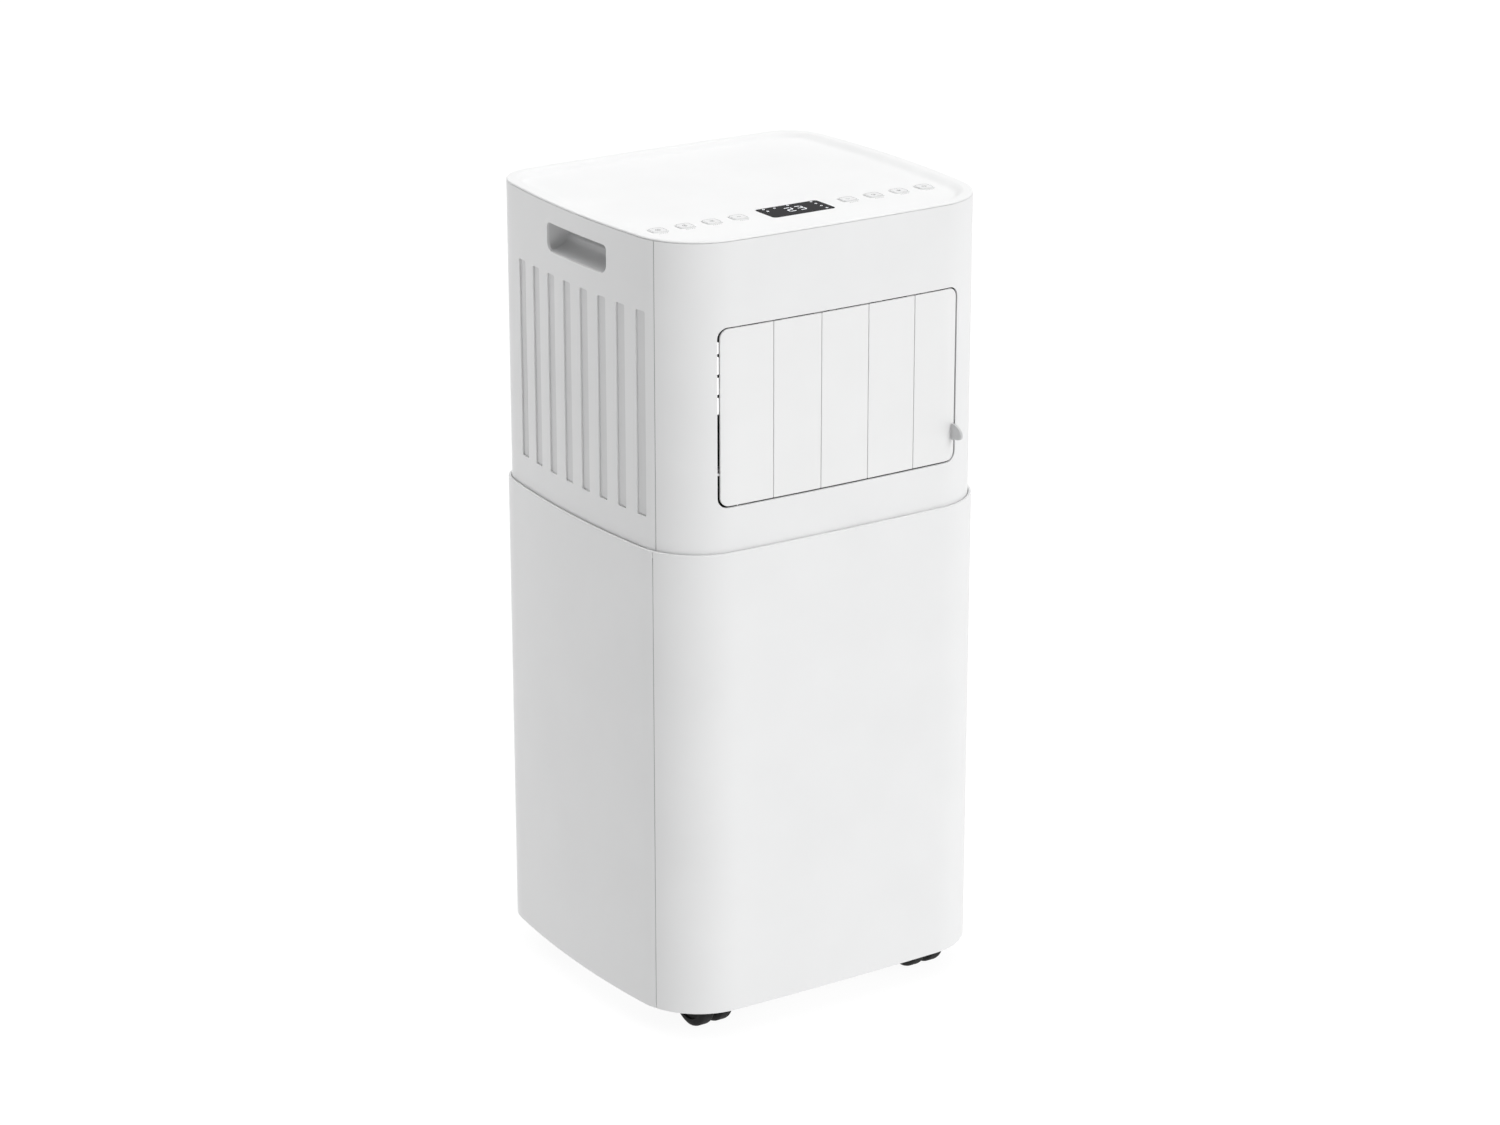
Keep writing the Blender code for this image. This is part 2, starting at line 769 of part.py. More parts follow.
def louvre_link():
    """The bar that joins the five cranks, so that one blade turns them all."""
    pins = [(pivot(i)[0] + CRANK_X, pivot(i)[1] + CRANK_Y) for i in range(BLADES)]
    low = CRANK_Z + CRANK_THICK + GAP
    high = low + CRANK_THICK
    ends = [(pins[0][0] - LINK_END, pins[0][1])]
    ends += pins[1:-1]
    ends.append((pins[-1][0] + LINK_END, pins[-1][1]))
    bar = [(x, y - LINK_HALF_WIDTH) for x, y in ends]
    bar += [(x, y + LINK_HALF_WIDTH) for x, y in reversed(ends)]
    link = prism("louvre_link", bar, "Z", low, high, "white_louvre", (*pins[-1], low))
    for i, at in enumerate(pins):
        hole = [(low - 3, LINK_HOLE), (high + 3, LINK_HOLE)]
        cut(link, turned(f"link_hole_{i}", hole, "Z", at, "white_louvre", 8))


def louvre_tab():
    """The finger tab on the last blade: flat below, a quarter ellipse above."""
    root = blade_front(TAB_X) - 0.3
    reach = REACH + root
    shoulder = TAB_BOTTOM + 1.0
    rise = TAB_TOP - shoulder
    outline = [(root, TAB_BOTTOM), (root - reach, TAB_BOTTOM)]
    for i in range(TAB_STEPS + 1):
        angle = math.pi / 2 * i / TAB_STEPS
        outline.append((root - reach * math.cos(angle), shoulder + rise * math.sin(angle)))
    ends = (TAB_X - TAB_THICK / 2, TAB_X + TAB_THICK / 2)
    x, y = pivot(BLADES - 1)
    prism("louvre_tab", outline, "X", *ends, "grey_tab", (x, y, TAB_BOTTOM))


def outlet_frame():
    """The duct mouth behind the front panel, which holds the blades' pivots above and below."""
    stations = 14
    span = [FRAME_HALF_WIDTH * (2 * i / stations - 1) for i in range(stations + 1)]
    flat_end = FRONT_TURN[0].x
    flat_inset = WALL + GAP
    corner_inset = WALL + INNER_FIT + GAP
    outline = [(x, front_y(x, flat_inset if abs(x) < flat_end else corner_inset)) for x in span]
    outline += [(FRAME_HALF_WIDTH, FRAME_BACK_Y), (-FRAME_HALF_WIDTH, FRAME_BACK_Y)]
    low = OUTLET_BOTTOM + 0.5
    high = OUTLET_TOP - 0.5
    frame = prism("outlet_frame", outline, "Z", low - FRAME_WALL, high + FRAME_WALL, "duct_plastic")
    mouth_low = (-DUCT_HALF_WIDTH, -HALF_DEPTH - THROUGH, low)
    mouth_high = (DUCT_HALF_WIDTH, FRAME_BACK_Y + THROUGH, high)
    cut(frame, box("outlet_duct", mouth_low, mouth_high, "duct_plastic"))
    for i in range(BLADES):
        hole = [(low - PIVOT_LENGTH, PIVOT_HOLE), (high + PIVOT_LENGTH, PIVOT_HOLE)]
        cut(frame, turned(f"pivot_hole_{i}", hole, "Z", pivot(i), "duct_plastic", 10))


# ---------------------------------------------------------------- back


def filter_door():
    """The slotted door over the rear filter. It pulls straight off."""
    low_y, high_y = DOOR_Y
    outline = rectangle((-DOOR_HALF_WIDTH, DOOR_Z[0]), (DOOR_HALF_WIDTH, DOOR_Z[1]), 6.0)
    door = prism("filter_door", outline, "Y", low_y, high_y, "white_shell", (0, low_y, DOOR_Z[0]))
    low_z, high_z = DOOR_Z[0] + 12, DOOR_Z[1] - 22
    for i in range(DOOR_SLOTS):
        x = (i - (DOOR_SLOTS - 1) / 2) * DOOR_SLOT_PITCH
        opening = rectangle((x - DOOR_SLOT_HALF, low_z), (x + DOOR_SLOT_HALF, high_z), 2.0)
        cut(door, prism(f"door_slot_{i}", opening, "Y", low_y - 5, high_y + 5, "white_shell"))
    grip_low = (-GRIP_HALF_WIDTH, DOOR_Z[1] - 13)
    grip = rectangle(grip_low, (GRIP_HALF_WIDTH, DOOR_Z[1] - 8), 1.5)
    join(door, prism("door_grip", grip, "Y", high_y - 1, high_y + 6, "white_shell"))


def filter_mesh():
    far = DOOR_Y[0] - GAP
    low = (-DOOR_HALF_WIDTH + 4, far - 2.7, DOOR_Z[0] + 5)
    high = (DOOR_HALF_WIDTH - 4, far, DOOR_Z[1] - 5)
    box("filter_mesh", low, high, "filter_net", (0, low[1], low[2]))


def rear_grille():
    """The condenser's air intake: horizontal slats in the lower back panel."""
    low_y, high_y = GRILLE_Y
    outline = rectangle((-GRILLE_HALF_WIDTH, GRILLE_Z[0]), (GRILLE_HALF_WIDTH, GRILLE_Z[1]), 6.0)
    grille = prism("rear_grille", outline, "Y", low_y, high_y, "white_shell")
    pitch = (GRILLE_Z[1] - GRILLE_Z[0] - 12) / GRILLE_SLATS
    half = GRILLE_HALF_WIDTH - GRILLE_FRAME
    for i in range(GRILLE_SLATS):
        z = GRILLE_Z[0] + 6 + (i + 0.5) * pitch
        opening = rectangle((-half, z - SLAT_GAP_HALF), (half, z + SLAT_GAP_HALF), 2.0)
        cut(grille, prism(f"grille_slot_{i}", opening, "Y", low_y - 5, high_y + 5, "white_shell"))


def exhaust_collar():
    """The socket that the exhaust hose goes into."""
    inner = 134.0
    flange = HALF_DEPTH + LOWER_STEP + 0.5
    profile = [
        (inner, COLLAR_BORE),
        (inner, COLLAR_TUBE),
        (flange, COLLAR_TUBE),
        (flange, COLLAR_FLANGE),
        (flange + 3.0, COLLAR_FLANGE),
        (flange + 3.0, COLLAR_TUBE),
        (REACH, COLLAR_TUBE),
        (REACH, COLLAR_BORE),
    ]
    turned("exhaust_collar", profile, "Y", (0.0, COLLAR_Z), "white_shell", 28, closed=True)


def cord_gland():
    """The bushing where the mains lead leaves the housing."""
    seat = back_y(GLAND[0]) + LOWER_STEP + 0.4
    profile = [
        (seat - 11, 3.8),
        (seat - 11, 7.5),
        (seat, 7.5),
        (seat, 10.5),
        (seat + 2.4, 10.5),
        (seat + 2.4, 6.4),
        (seat + 6.5, 5.6),
        (seat + 6.5, 3.8),
    ]
    turned("cord_gland", profile, "Y", GLAND, "rubber_cap", 12, closed=True)


def drain_cap(label, place, step):
    """A rubber stopper in a drain outlet, which pulls straight out."""
    seat = back_y(place[0]) + step + 0.4
    profile = [
        (seat - 10, 6.8),
        (seat - 8, DRAIN_HOLE - GAP),
        (seat, DRAIN_HOLE - GAP),
        (seat, 11.5),
        (seat + 2.6, 11.5),
        (seat + 3.6, 10.5),
    ]
    origin = (place[0], seat, place[1])
    turned(f"drain_cap_{label}", profile, "Y", place, "rubber_cap", 16, origin)


# ---------------------------------------------------------------- inside


def mid_deck():
    """The tray between the evaporator above and the compressor below, with a slot for the pipes."""
    high = WAIST - WALL - 0.5
    low = high - 4.0
    rings = [[(*point, z) for point in whole_outline(INNER_FIT)] for z in (low, high)]
    deck = loft("mid_deck", rings, "duct_plastic")
    cut(deck, box("pipe_slot", (-146.0, -6.0, low - 5), (-112.0, 58.0, high + 5), "duct_plastic"))


def finned_block(name, low, high, fins):
    """A heat exchanger: a block with upright grooves in the face that the air enters."""
    groove = 4.0
    pitch = (high[0] - low[0]) / fins
    outline = [(low[0], low[1]), (high[0], low[1])]
    for i in range(fins):
        x = high[0] - i * pitch
        outline += [(x, high[1]), (x - pitch * 0.5, high[1])]
        outline += [(x - pitch * 0.5, high[1] - groove), (x - pitch, high[1] - groove)]
    outline[-1] = (low[0] + pitch * 0.2, high[1] - groove)
    outline += [(low[0] + pitch * 0.2, high[1]), (low[0], high[1])]
    prism(name, outline, "Z", low[2], high[2], "fin_aluminium")


def fan_housing(name, low, high, open_front, holes):
    """A thin-walled box round a fan, with round holes in its front or back wall."""
    shell = box(name, low, high, "duct_plastic")
    room_low = [low[0] + WALL, low[1] - THROUGH if open_front else low[1] + WALL, low[2] + WALL]
    room_high = [high[0] - WALL, high[1] - WALL, high[2] - WALL]
    cut(shell, box(f"{name}_room", room_low, room_high, "duct_plastic"))
    middle_z = (low[2] + high[2]) / 2
    for i, (wall_y, radius) in enumerate(holes):
        span = [(wall_y - 6, radius), (wall_y + 6, radius)]
        cut(shell, turned(f"{name}_hole_{i}", span, "Y", (0.0, middle_z), "duct_plastic", 32))


def fan_wheel(name, y_span, z, tip, root, vanes):
    """A centrifugal wheel: vanes round the rim of a disc, with a hub that takes the motor's shaft."""
    outline = []
    for i in range(vanes):
        for share, radius in ((0.0, tip), (0.35, tip), (0.35, root), (1.0, root)):
            angle = 2 * math.pi * (i + share) / vanes
            outline.append((radius * math.cos(angle), z + radius * math.sin(angle)))
    low, high = y_span
    eye = [(low - 5, root - 4), (high - DISC_THICK, root - 4)]
    hub = [(high - 16, HUB_RADIUS), (high - 1, HUB_RADIUS)]
    bore = [(low - 5, HUB_BORE), (high + 5, HUB_BORE)]
    wheel = prism(name, outline, "Y", low, high, "duct_plastic", (0, low, z))
    cut(wheel, turned(f"{name}_eye", eye, "Y", (0.0, z), "duct_plastic", 24))
    join(wheel, turned(f"{name}_hub", hub, "Y", (0.0, z), "duct_plastic", 16))
    cut(wheel, turned(f"{name}_bore", bore, "Y", (0.0, z), "duct_plastic", 16))


def motor(name, z, shaft_end, body_span, radius):
    """A round motor with its shaft along Y."""
    near, far = body_span
    if shaft_end < near:
        profile = [(shaft_end, MOTOR_SHAFT), (near, MOTOR_SHAFT)]
        profile += [(near, radius - 3), (near + 3, radius), (far, radius)]
    else:
        profile = [(near, radius), (far - 3, radius), (far, radius - 3)]
        profile += [(far, MOTOR_SHAFT), (shaft_end, MOTOR_SHAFT)]
    turned(name, profile, "Y", (0.0, z), "motor_steel", 24)


def compressor():
    """The compressor's welded shell with its accumulator, standing on a foot plate."""
    centre = (-70.0, 0.0)
    can = [(32.0, 44.0), (38.0, 50.0), (196.0, 50.0), (216.0, 43.0), (228.0, 26.0), (232.0, 8.0)]
    body = turned("compressor", can, "Z", centre, "compressor_paint", 20)
    side_can = [(70.0, 6.0), (82.0, 14.0), (176.0, 14.0), (188.0, 6.0)]
    beside = (centre[0] + 67.0, centre[1])
    join(
        body,
        prism("foot_plate", circle(centre, 54.0, 6), "Z", 30.5, 34.0, "compressor_paint"),
        turned("accumulator", side_can, "Z", beside, "compressor_paint", 10),
        box("strap", (-25.0, -4.0, 120.0), (8.0, 4.0, 132.0), "compressor_paint"),
    )


def pipes():
    tube(
        "suction_pipe",
        [
            (-70, -22, 238),
            (-72, -22, 262),
            (-100, -8, 285),
            (-126, 8, 312),
            (-126, 12, 380),
            (-126, 14, 450),
            (-122, 16, 478),
            (-108.5, 17, 486),
        ],
        4.5,
        "copper_pipe",
    )
    tube(
        "discharge_pipe",
        [
            (-66, 20, 236),
            (-66, 24, 252),
            (-84, 60, 262),
            (-110, 90, 256),
            (-113, 112, 240),
            (-102.5, 116, 228),
        ],
        3.2,
        "copper_pipe",
    )
    tube(
        "liquid_pipe",
        [
            (101.5, 116, 110),
            (114, 112, 122),
            (122, 90, 180),
            (110, 20, 235),
            (40, -70, 250),
            (-60, -84, 262),
            (-122, -56, 300),
            (-140, 6, 350),
            (-138, 36, 400),
            (-136, 36, 452),
            (-124, 28, 500),
            (-108.5, 24, 506),
        ],
        3.0,
        "copper_pipe",
    )


# ---------------------------------------------------------------- casters


def caster_places():
    """Label and stem position of each caster."""
    return [
        (f"{end}_{hand}", x, y)
        for end, y in (("front", -CASTER_Y), ("rear", CASTER_Y))
        for hand, x in (("left", -CASTER_X), ("right", CASTER_X))
    ]


def caster_fork(label, x, y):
    """The swivelling body: a web between the wheels, a hood over them and a stem in the pan."""
    axle_y = y - CASTER_TRAIL
    hood_low = 2 * WHEEL_RADIUS + HOOD_GAP
    hood_high = hood_low + HOOD_THICK
    web = [
        (axle_y - 9, WHEEL_RADIUS),
        (axle_y - 6, WHEEL_RADIUS - 7),
        (axle_y + 4, WHEEL_RADIUS - 8),
        (axle_y + 11, WHEEL_RADIUS),
        (y + 12, hood_low + 1),
        (axle_y - 20, hood_low + 1),
    ]
    hood = rectangle((x - HOOD_HALF_WIDTH, axle_y - 21), (x + HOOD_HALF_WIDTH, y + 13), 5.0)
    stem = [(hood_high - 1, 8.0), (WELL_TOP - 1, 8.0), (WELL_TOP - 1, 5.8), (WELL_TOP + 5, 5.8)]
    bore = [(x - 8, AXLE_BORE), (x + 8, AXLE_BORE)]
    origin = (x, y, hood_low)
    fork = prism(f"caster_fork_{label}", hood, "Z", hood_low, hood_high, "black_caster", origin)
    join(
        fork,
        prism(f"web_{label}", web, "X", x - WEB_HALF_WIDTH, x + WEB_HALF_WIDTH, "black_caster"),
        turned(f"stem_{label}", stem, "Z", (x, y), "black_caster", 10),
    )
    cut(fork, turned(f"axle_bore_{label}", bore, "X", (axle_y, WHEEL_RADIUS), "black_caster", 12))


def caster_wheels(label, x, y):
    """Two wheels on one axle, which roll together."""
    axle_y = y - CASTER_TRAIL
    side = [
        (WHEEL_INSIDE, AXLE_RADIUS),
        (WHEEL_INSIDE, WHEEL_RADIUS - 2.0),
        (WHEEL_INSIDE + 1.2, WHEEL_RADIUS),
        (WHEEL_OUTSIDE - 1.6, WHEEL_RADIUS),
        (WHEEL_OUTSIDE, WHEEL_RADIUS - 2.2),
    ]
    profile = [(x - along, radius) for along, radius in reversed(side)]
    profile += [(x + along, radius) for along, radius in side]
    centre = (axle_y, WHEEL_RADIUS)
    origin = (x, axle_y, WHEEL_RADIUS)
    turned(f"caster_wheels_{label}", profile, "X", centre, "black_caster", 20, origin)


# ---------------------------------------------------------------- assembly


def shells():
    base_pan()
    lower_panels()
    upper_front_panel()
    upper_back_panel()
    top_cover()
    for label, side, path in (("left", -1, left_side_path), ("right", 1, side_path)):
        upper_side_panel(label, path, side)
        handle_cup(label, side)
        intake_screen(label, side)


def front_and_top():
    outlet_frame()
    louvre_blades()
    louvre_tab()
    louvre_link()
    display_window()
    keys()
    control_board()


def back_fittings():
    filter_door()
    filter_mesh()
    rear_grille()
    exhaust_collar()
    cord_gland()
    drain_cap("upper", DRAIN_UPPER, 0.0)
    drain_cap("lower", DRAIN_LOWER, LOWER_STEP)


def working_parts():
    mid_deck()
    finned_block("evaporator_coil", (-105.0, 0.0, 446.0), (105.0, 32.0, 640.0), 16)
    finned_block("condenser_coil", (-99.0, 104.0, 84.0), (99.0, 130.0, 248.0), 16)
    fan_housing("blower_housing", (-118, -107, 446), (118, -33, 650), True, [(-34.0, 68.0)])
    fan_wheel("blower_wheel", (-98.0, -44.0), BLOWER_Z, 85.0, 70.0, 16)
    motor("blower_motor", BLOWER_Z, -56.0, (-32.0, -3.0), 33.0)
    holes = [(62.0, 46.0), (140.0, COLLAR_TUBE + 1.0)]
    fan_housing("exhaust_fan_housing", (-72, 62, 270), (72, 141, 410), False, holes)
    fan_wheel("exhaust_fan_wheel", (72.0, 118.0), EXHAUST_Z, 56.0, 44.0, 12)
    motor("exhaust_fan_motor", EXHAUST_Z, 112.0, (22.0, 58.0), 31.0)
    compressor()
    pipes()


def casters():
    for label, x, y in caster_places():
        caster_fork(label, x, y)
        caster_wheels(label, x, y)


def main():
    clear_scene()
    shells()
    front_and_top()
    back_fittings()
    working_parts()
    casters()


main()
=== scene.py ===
"""The looks of the portable air conditioner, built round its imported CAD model.

Metres in Blender. The constants and the outlines are in millimetres, as in part.py, and MM turns
them into metres where a mesh is made. The front faces -Y.
"""

import json
import math

import bpy
import bmesh
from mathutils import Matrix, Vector


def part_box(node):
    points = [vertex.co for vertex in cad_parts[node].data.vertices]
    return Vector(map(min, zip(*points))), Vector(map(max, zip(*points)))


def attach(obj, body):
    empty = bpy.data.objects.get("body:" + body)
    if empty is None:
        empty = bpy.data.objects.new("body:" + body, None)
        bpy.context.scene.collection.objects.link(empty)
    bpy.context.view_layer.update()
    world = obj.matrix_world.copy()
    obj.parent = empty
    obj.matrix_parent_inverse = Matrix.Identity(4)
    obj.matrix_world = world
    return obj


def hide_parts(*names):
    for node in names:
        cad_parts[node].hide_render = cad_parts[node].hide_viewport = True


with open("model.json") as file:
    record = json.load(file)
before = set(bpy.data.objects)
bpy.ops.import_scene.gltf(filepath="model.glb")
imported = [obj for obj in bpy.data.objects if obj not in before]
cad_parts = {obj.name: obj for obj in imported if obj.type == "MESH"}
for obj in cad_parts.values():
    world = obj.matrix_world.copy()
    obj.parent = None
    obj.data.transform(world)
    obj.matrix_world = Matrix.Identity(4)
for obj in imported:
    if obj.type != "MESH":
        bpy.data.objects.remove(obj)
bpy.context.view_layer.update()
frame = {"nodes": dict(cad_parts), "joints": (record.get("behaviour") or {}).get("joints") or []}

MM = 0.001

# The body's outline from above: arcs that meet tangentially. An inset is measured inwards from it.
HALF_WIDTH = 164.5
HALF_DEPTH = 148.2
FACE_RADIUS = 3750.0
SIDE_RADIUS = 913.0
FRONT_CORNER = 58.0
REAR_CORNER = 38.0
FACE_STEPS = 18
CORNER_STEPS = 22
SIDE_STEPS = 44

# The shells.
WALL = 2.5
SEAM = 0.7
STEP = 3.0
FRONT_SEAM_Y = -110.3
BACK_SEAM_X = 112.0
GROOVE = 0.65
GROOVE_DEPTH = 2.8
LEDGE_ROUND = 1.0
THROUGH = 12.0
# Half width, front depth and back depth of the two parts of a seam's strip.
SEAM_TONGUE = (SEAM / 2 - 0.02, 0.45, WALL + 0.4)
SEAM_FOOT = (6.0, WALL + 0.1, WALL + 1.2)

# The louvre.
OUTLET = ((-117.5, 472.4), (119.0, 624.2))
OUTLET_CORNER = 9.0
BLADES = 5
BLADE_PITCH = 46.4
BLADE_FIRST_LINE = -111.6
BLADE_ENDS = (-114.9, 117.8)
BLADE_RECESS = 0.6
BLADE_THICK = 2.0
BLADE_BACK = 4.5
BLADE_LAP = 5.0
BLADE_CORNER = 7.8
BLADE_MARGIN = 4.5
PIVOT_RADIUS = 1.6
SHAFT_RADIUS = 2.6
CRANK_X = -22.0
CRANK_Y = 7.0
CRANK_Z = (500.0, 502.0)
PIN_RADIUS = 1.2
PIN_Z = (501.0, 506.0)
TAB_SHIFT = 2.0
TAB_NOSE = 6.5
# The glowing strip beside the first blade, painted light that makes the gap there read white, ends
# at the outer heights. A square breaks it at the rest.
GAP_STRIP_Z = (552.6, 567.7, 584.5, 601.8, 612.6)
GAP_SQUARE = 1.4

# The side intakes, the pocket handles, the key row and the display.
SLOTS = 8
SLOT_PITCH = 26.55
SLOT_WIDTH = 11.8
SLOT_CENTRE_Y = -2.1
SLOT_Z = (461.5, 634.5)
SCREEN_DEPTH = 1.5
HANDLE_Y = (-49.8, 43.0)
HANDLE_Z = (654.0, 678.2)
KEYS = 8
KEY_SIZE = 14.0
KEY_FOOT = 17.0
KEY_CORNER = 3.2
FRAME_HALF = 6.1
MARK_WIDTH = 0.3
LEGEND_PITCH = 1.8
LEGEND_HALF = 0.62
LEGEND_WIDTH = 0.5
WINDOW_CORNER = 3.2
DIGIT = (6.0, 10.8)
DIGIT_OFFSET = 5.0
DIGIT_STROKE = 0.72
INDICATOR_RADIUS = 0.9
INDICATOR_STROKE = 0.36
# The display's round indicators, measured from the middle of the window.
INDICATORS = (
    (-23.6, 11.6), (-23.6, 5.0), (-13.5, 10.4), (0.6, 12.4),
    (23.6, 12.0), (23.6, 4.8), (23.6, -3.2), (23.6, -11.4),
)

# The back.
DOOR_SLOTS = 12
DOOR_SLOT_PITCH = 14.6
DOOR_SLOT_WIDTH = 8.4
NET_COLUMNS = 56
NET_ROWS = 46
NET_THREAD = 0.5
GRILLE_ROWS = 13
GRILLE_SLOT = 6.8
COLLAR_BORE = 61.5
COLLAR_RADIUS = 65.0
COLLAR_FLANGE = 72.0
COLLAR_RIBS = 12
GLAND_HOLE = 8.2
DRAIN_HOLE = 8.8
SCREW_X = 103.0
SCREW_Z = (455.0, 672.0, 410.0, 48.0)
SCREW_RADIUS = 3.2

# The base and the casters.
PAN_EDGE = 1.2
WELL_RADIUS = 47.0
WELL_WALL = 2.0
STEM_HOLE = 6.3
RIB_X = (-24.0, 0.0, 24.0)
WHEEL_WIDTH = 13.0
HOOD_GAP = 2.5
HOOD_THICK = 5.0
WEB_HALF = 2.2


# -------- materials


def node(tree, kind, **settings):
    made = tree.nodes.new(kind)
    for key, value in settings.items():
        setattr(made, key, value)
    return made


def noise(tree, scale, detail=2.0, stretch=None):
    """A noise texture in real units: scale is in features per metre."""
    place = node(tree, "ShaderNodeTexCoord").outputs["Object"]
    if stretch:
        mapping = node(tree, "ShaderNodeMapping")
        mapping.inputs["Scale"].default_value = stretch
        tree.links.new(place, mapping.inputs["Vector"])
        place = mapping.outputs["Vector"]
    made = node(tree, "ShaderNodeTexNoise")
    made.inputs["Scale"].default_value = scale
    made.inputs["Detail"].default_value = detail
    tree.links.new(place, made.inputs["Vector"])
    return made.outputs["Fac"]


def ranged(tree, value, low, high, first=0.3, last=0.7):
    made = node(tree, "ShaderNodeMapRange")
    for key, number in (("From Min", first), ("From Max", last), ("To Min", low), ("To Max", high)):
        made.inputs[key].default_value = number
    tree.links.new(value, made.inputs["Value"])
    return made.outputs["Result"]


def tinted(tree, value, first, second):
    """A colour that goes from first to second as value goes from 0.3 to 0.7."""
    ramp = node(tree, "ShaderNodeValToRGB")
    ramp.color_ramp.elements[0].position = 0.3
    ramp.color_ramp.elements[1].position = 0.7
    ramp.color_ramp.elements[0].color = (*first, 1.0)
    ramp.color_ramp.elements[1].color = (*second, 1.0)
    tree.links.new(value, ramp.inputs["Fac"])
    return ramp.outputs["Color"]


def bumped(tree, shader, height, strength, distance):
    made = node(tree, "ShaderNodeBump")
    made.inputs["Strength"].default_value = strength
    made.inputs["Distance"].default_value = distance
    tree.links.new(height, made.inputs["Height"])
    tree.links.new(made.outputs["Normal"], shader.inputs["Normal"])


def surface(
    name, colour, roughness, metallic=0.0, spread=0.012, patches=14.0, grain=1900.0,
    strength=0.1, distance=0.0002, play=0.04, stretch=None, coat=0.0, glow=None, specular=0.5,
):
    """A material whose tone, gloss and fine relief all vary at their real scale."""
    made = bpy.data.materials.new(name)
    made.use_nodes = True
    tree = made.node_tree
    shader = tree.nodes["Principled BSDF"]
    shader.inputs["Metallic"].default_value = metallic
    shader.inputs["Coat Weight"].default_value = coat
    shader.inputs["Specular IOR Level"].default_value = specular
    if glow:
        shader.inputs["Emission Color"].default_value = (*glow[0], 1.0)
        shader.inputs["Emission Strength"].default_value = glow[1]
    low = [c * (1 - spread) for c in colour]
    high = [min(1.0, c * (1 + spread)) for c in colour]
    tone = tinted(tree, noise(tree, patches, 3.0, stretch), low, high)
    tree.links.new(tone, shader.inputs["Base Color"])
    gloss = ranged(tree, noise(tree, patches * 5, 3.0, stretch), roughness - play, roughness + play)
    tree.links.new(gloss, shader.inputs["Roughness"])
    bumped(tree, shader, noise(tree, grain, 2.0, stretch), strength, distance)
    return made


def striped(made, axis, per_metre, strength, distance):
    """Adds ridges across an axis to a material's relief, such as fins or a woven screen's ribs."""
    tree = made.node_tree
    shader = tree.nodes["Principled BSDF"]
    place = node(tree, "ShaderNodeTexCoord").outputs["Object"]
    wave = node(tree, "ShaderNodeTexWave", wave_type="BANDS", bands_direction=axis)
    wave.inputs["Scale"].default_value = per_metre / 20 * math.pi
    tree.links.new(place, wave.inputs["Vector"])
    bump = node(tree, "ShaderNodeBump")
    bump.inputs["Strength"].default_value = strength
    bump.inputs["Distance"].default_value = distance
    before = shader.inputs["Normal"].links[0].from_socket
    tree.links.new(wave.outputs["Fac"], bump.inputs["Height"])
    tree.links.new(before, bump.inputs["Normal"])
    tree.links.new(bump.outputs["Normal"], shader.inputs["Normal"])
    return made


SHELL = surface("moulded_white", (0.845, 0.848, 0.85), 0.42)
LID = surface("lid_white", (0.9, 0.902, 0.902), 0.5, strength=0.06, specular=0.35)
LOUVRE = surface("louvre_white", (0.86, 0.862, 0.862), 0.4, strength=0.08)
KEY = surface("key_white", (0.88, 0.883, 0.885), 0.34, strength=0.05)
# painted shade: the intake backing is a darker white than the shell, for the shade inside the slots
SCREEN_SHADE = surface("screen_painted_shade", (0.74, 0.742, 0.744), 0.5, spread=0.02, strength=0.2)
# painted shade: the handle pockets are a darker white than the shell, for the shade inside the
# recesses
POCKET_SHADE = surface("pocket_painted_shade", (0.74, 0.742, 0.745), 0.5, spread=0.02, strength=0.2)
TAB = surface("tab_grey", (0.60, 0.605, 0.61), 0.42, spread=0.03)
# painted light: this strip glows though it is no lamp, so the gap beside the first blade reads
# white
GLOWING_STRIP = surface("strip_painted_glow", (0.95, 0.95, 0.95), 0.5, glow=((1.0, 1.0, 1.0), 0.25))
GLASS = surface(
    "window_black", (0.016, 0.016, 0.018), 0.14, spread=0.1, strength=0.01, play=0.03,
    specular=0.03,
)
LIGHT = surface(
    "segment_white", (0.8, 0.82, 0.85), 0.4, glow=((0.95, 0.97, 1.0), 0.8), strength=0.02
)
INK = surface("ink_grey", (0.26, 0.263, 0.266), 0.6, spread=0.08, patches=400.0)
NYLON = surface(
    "caster_nylon", (0.008, 0.008, 0.0085), 0.45, spread=0.15, strength=0.2, specular=0.25
)
TREAD = surface(
    "caster_tread", (0.01, 0.01, 0.01), 0.68, spread=0.25, strength=0.45, patches=60.0, specular=0.2
)
# painted shade: grey strips fill the seams so the seam lines read dark
SEAM_SHADE = surface("seam_painted_shade", (0.3, 0.303, 0.306), 0.6, spread=0.05, strength=0.2)
# painted shade: near black for the outlet frame behind the blades, so the gaps round them read dark
GAP_SHADE = surface("gap_painted_shade", (0.012, 0.012, 0.012), 0.7, spread=0.2, strength=0.2, specular=0.15)
RUBBER = surface("cap_rubber", (0.045, 0.045, 0.047), 0.75, spread=0.2, strength=0.4)
NET = surface("net_thread", (0.10, 0.105, 0.11), 0.7, spread=0.15, patches=300.0)
DUCT = surface("duct_grey", (0.045, 0.046, 0.048), 0.6, spread=0.12, strength=0.2)
PAN = surface("pan_grey", (0.20, 0.2, 0.205), 0.6, spread=0.06, strength=0.25)
FINS = striped(
    surface("coil_fins", (0.75, 0.76, 0.77), 0.34, 1.0, spread=0.06), "X", 650, 0.9, 0.0008
)
COPPER = surface("pipe_copper", (0.70, 0.36, 0.21), 0.3, 1.0, spread=0.18, patches=40.0)
PAINT = surface("black_paint", (0.03, 0.03, 0.032), 0.32, spread=0.1, strength=0.15)
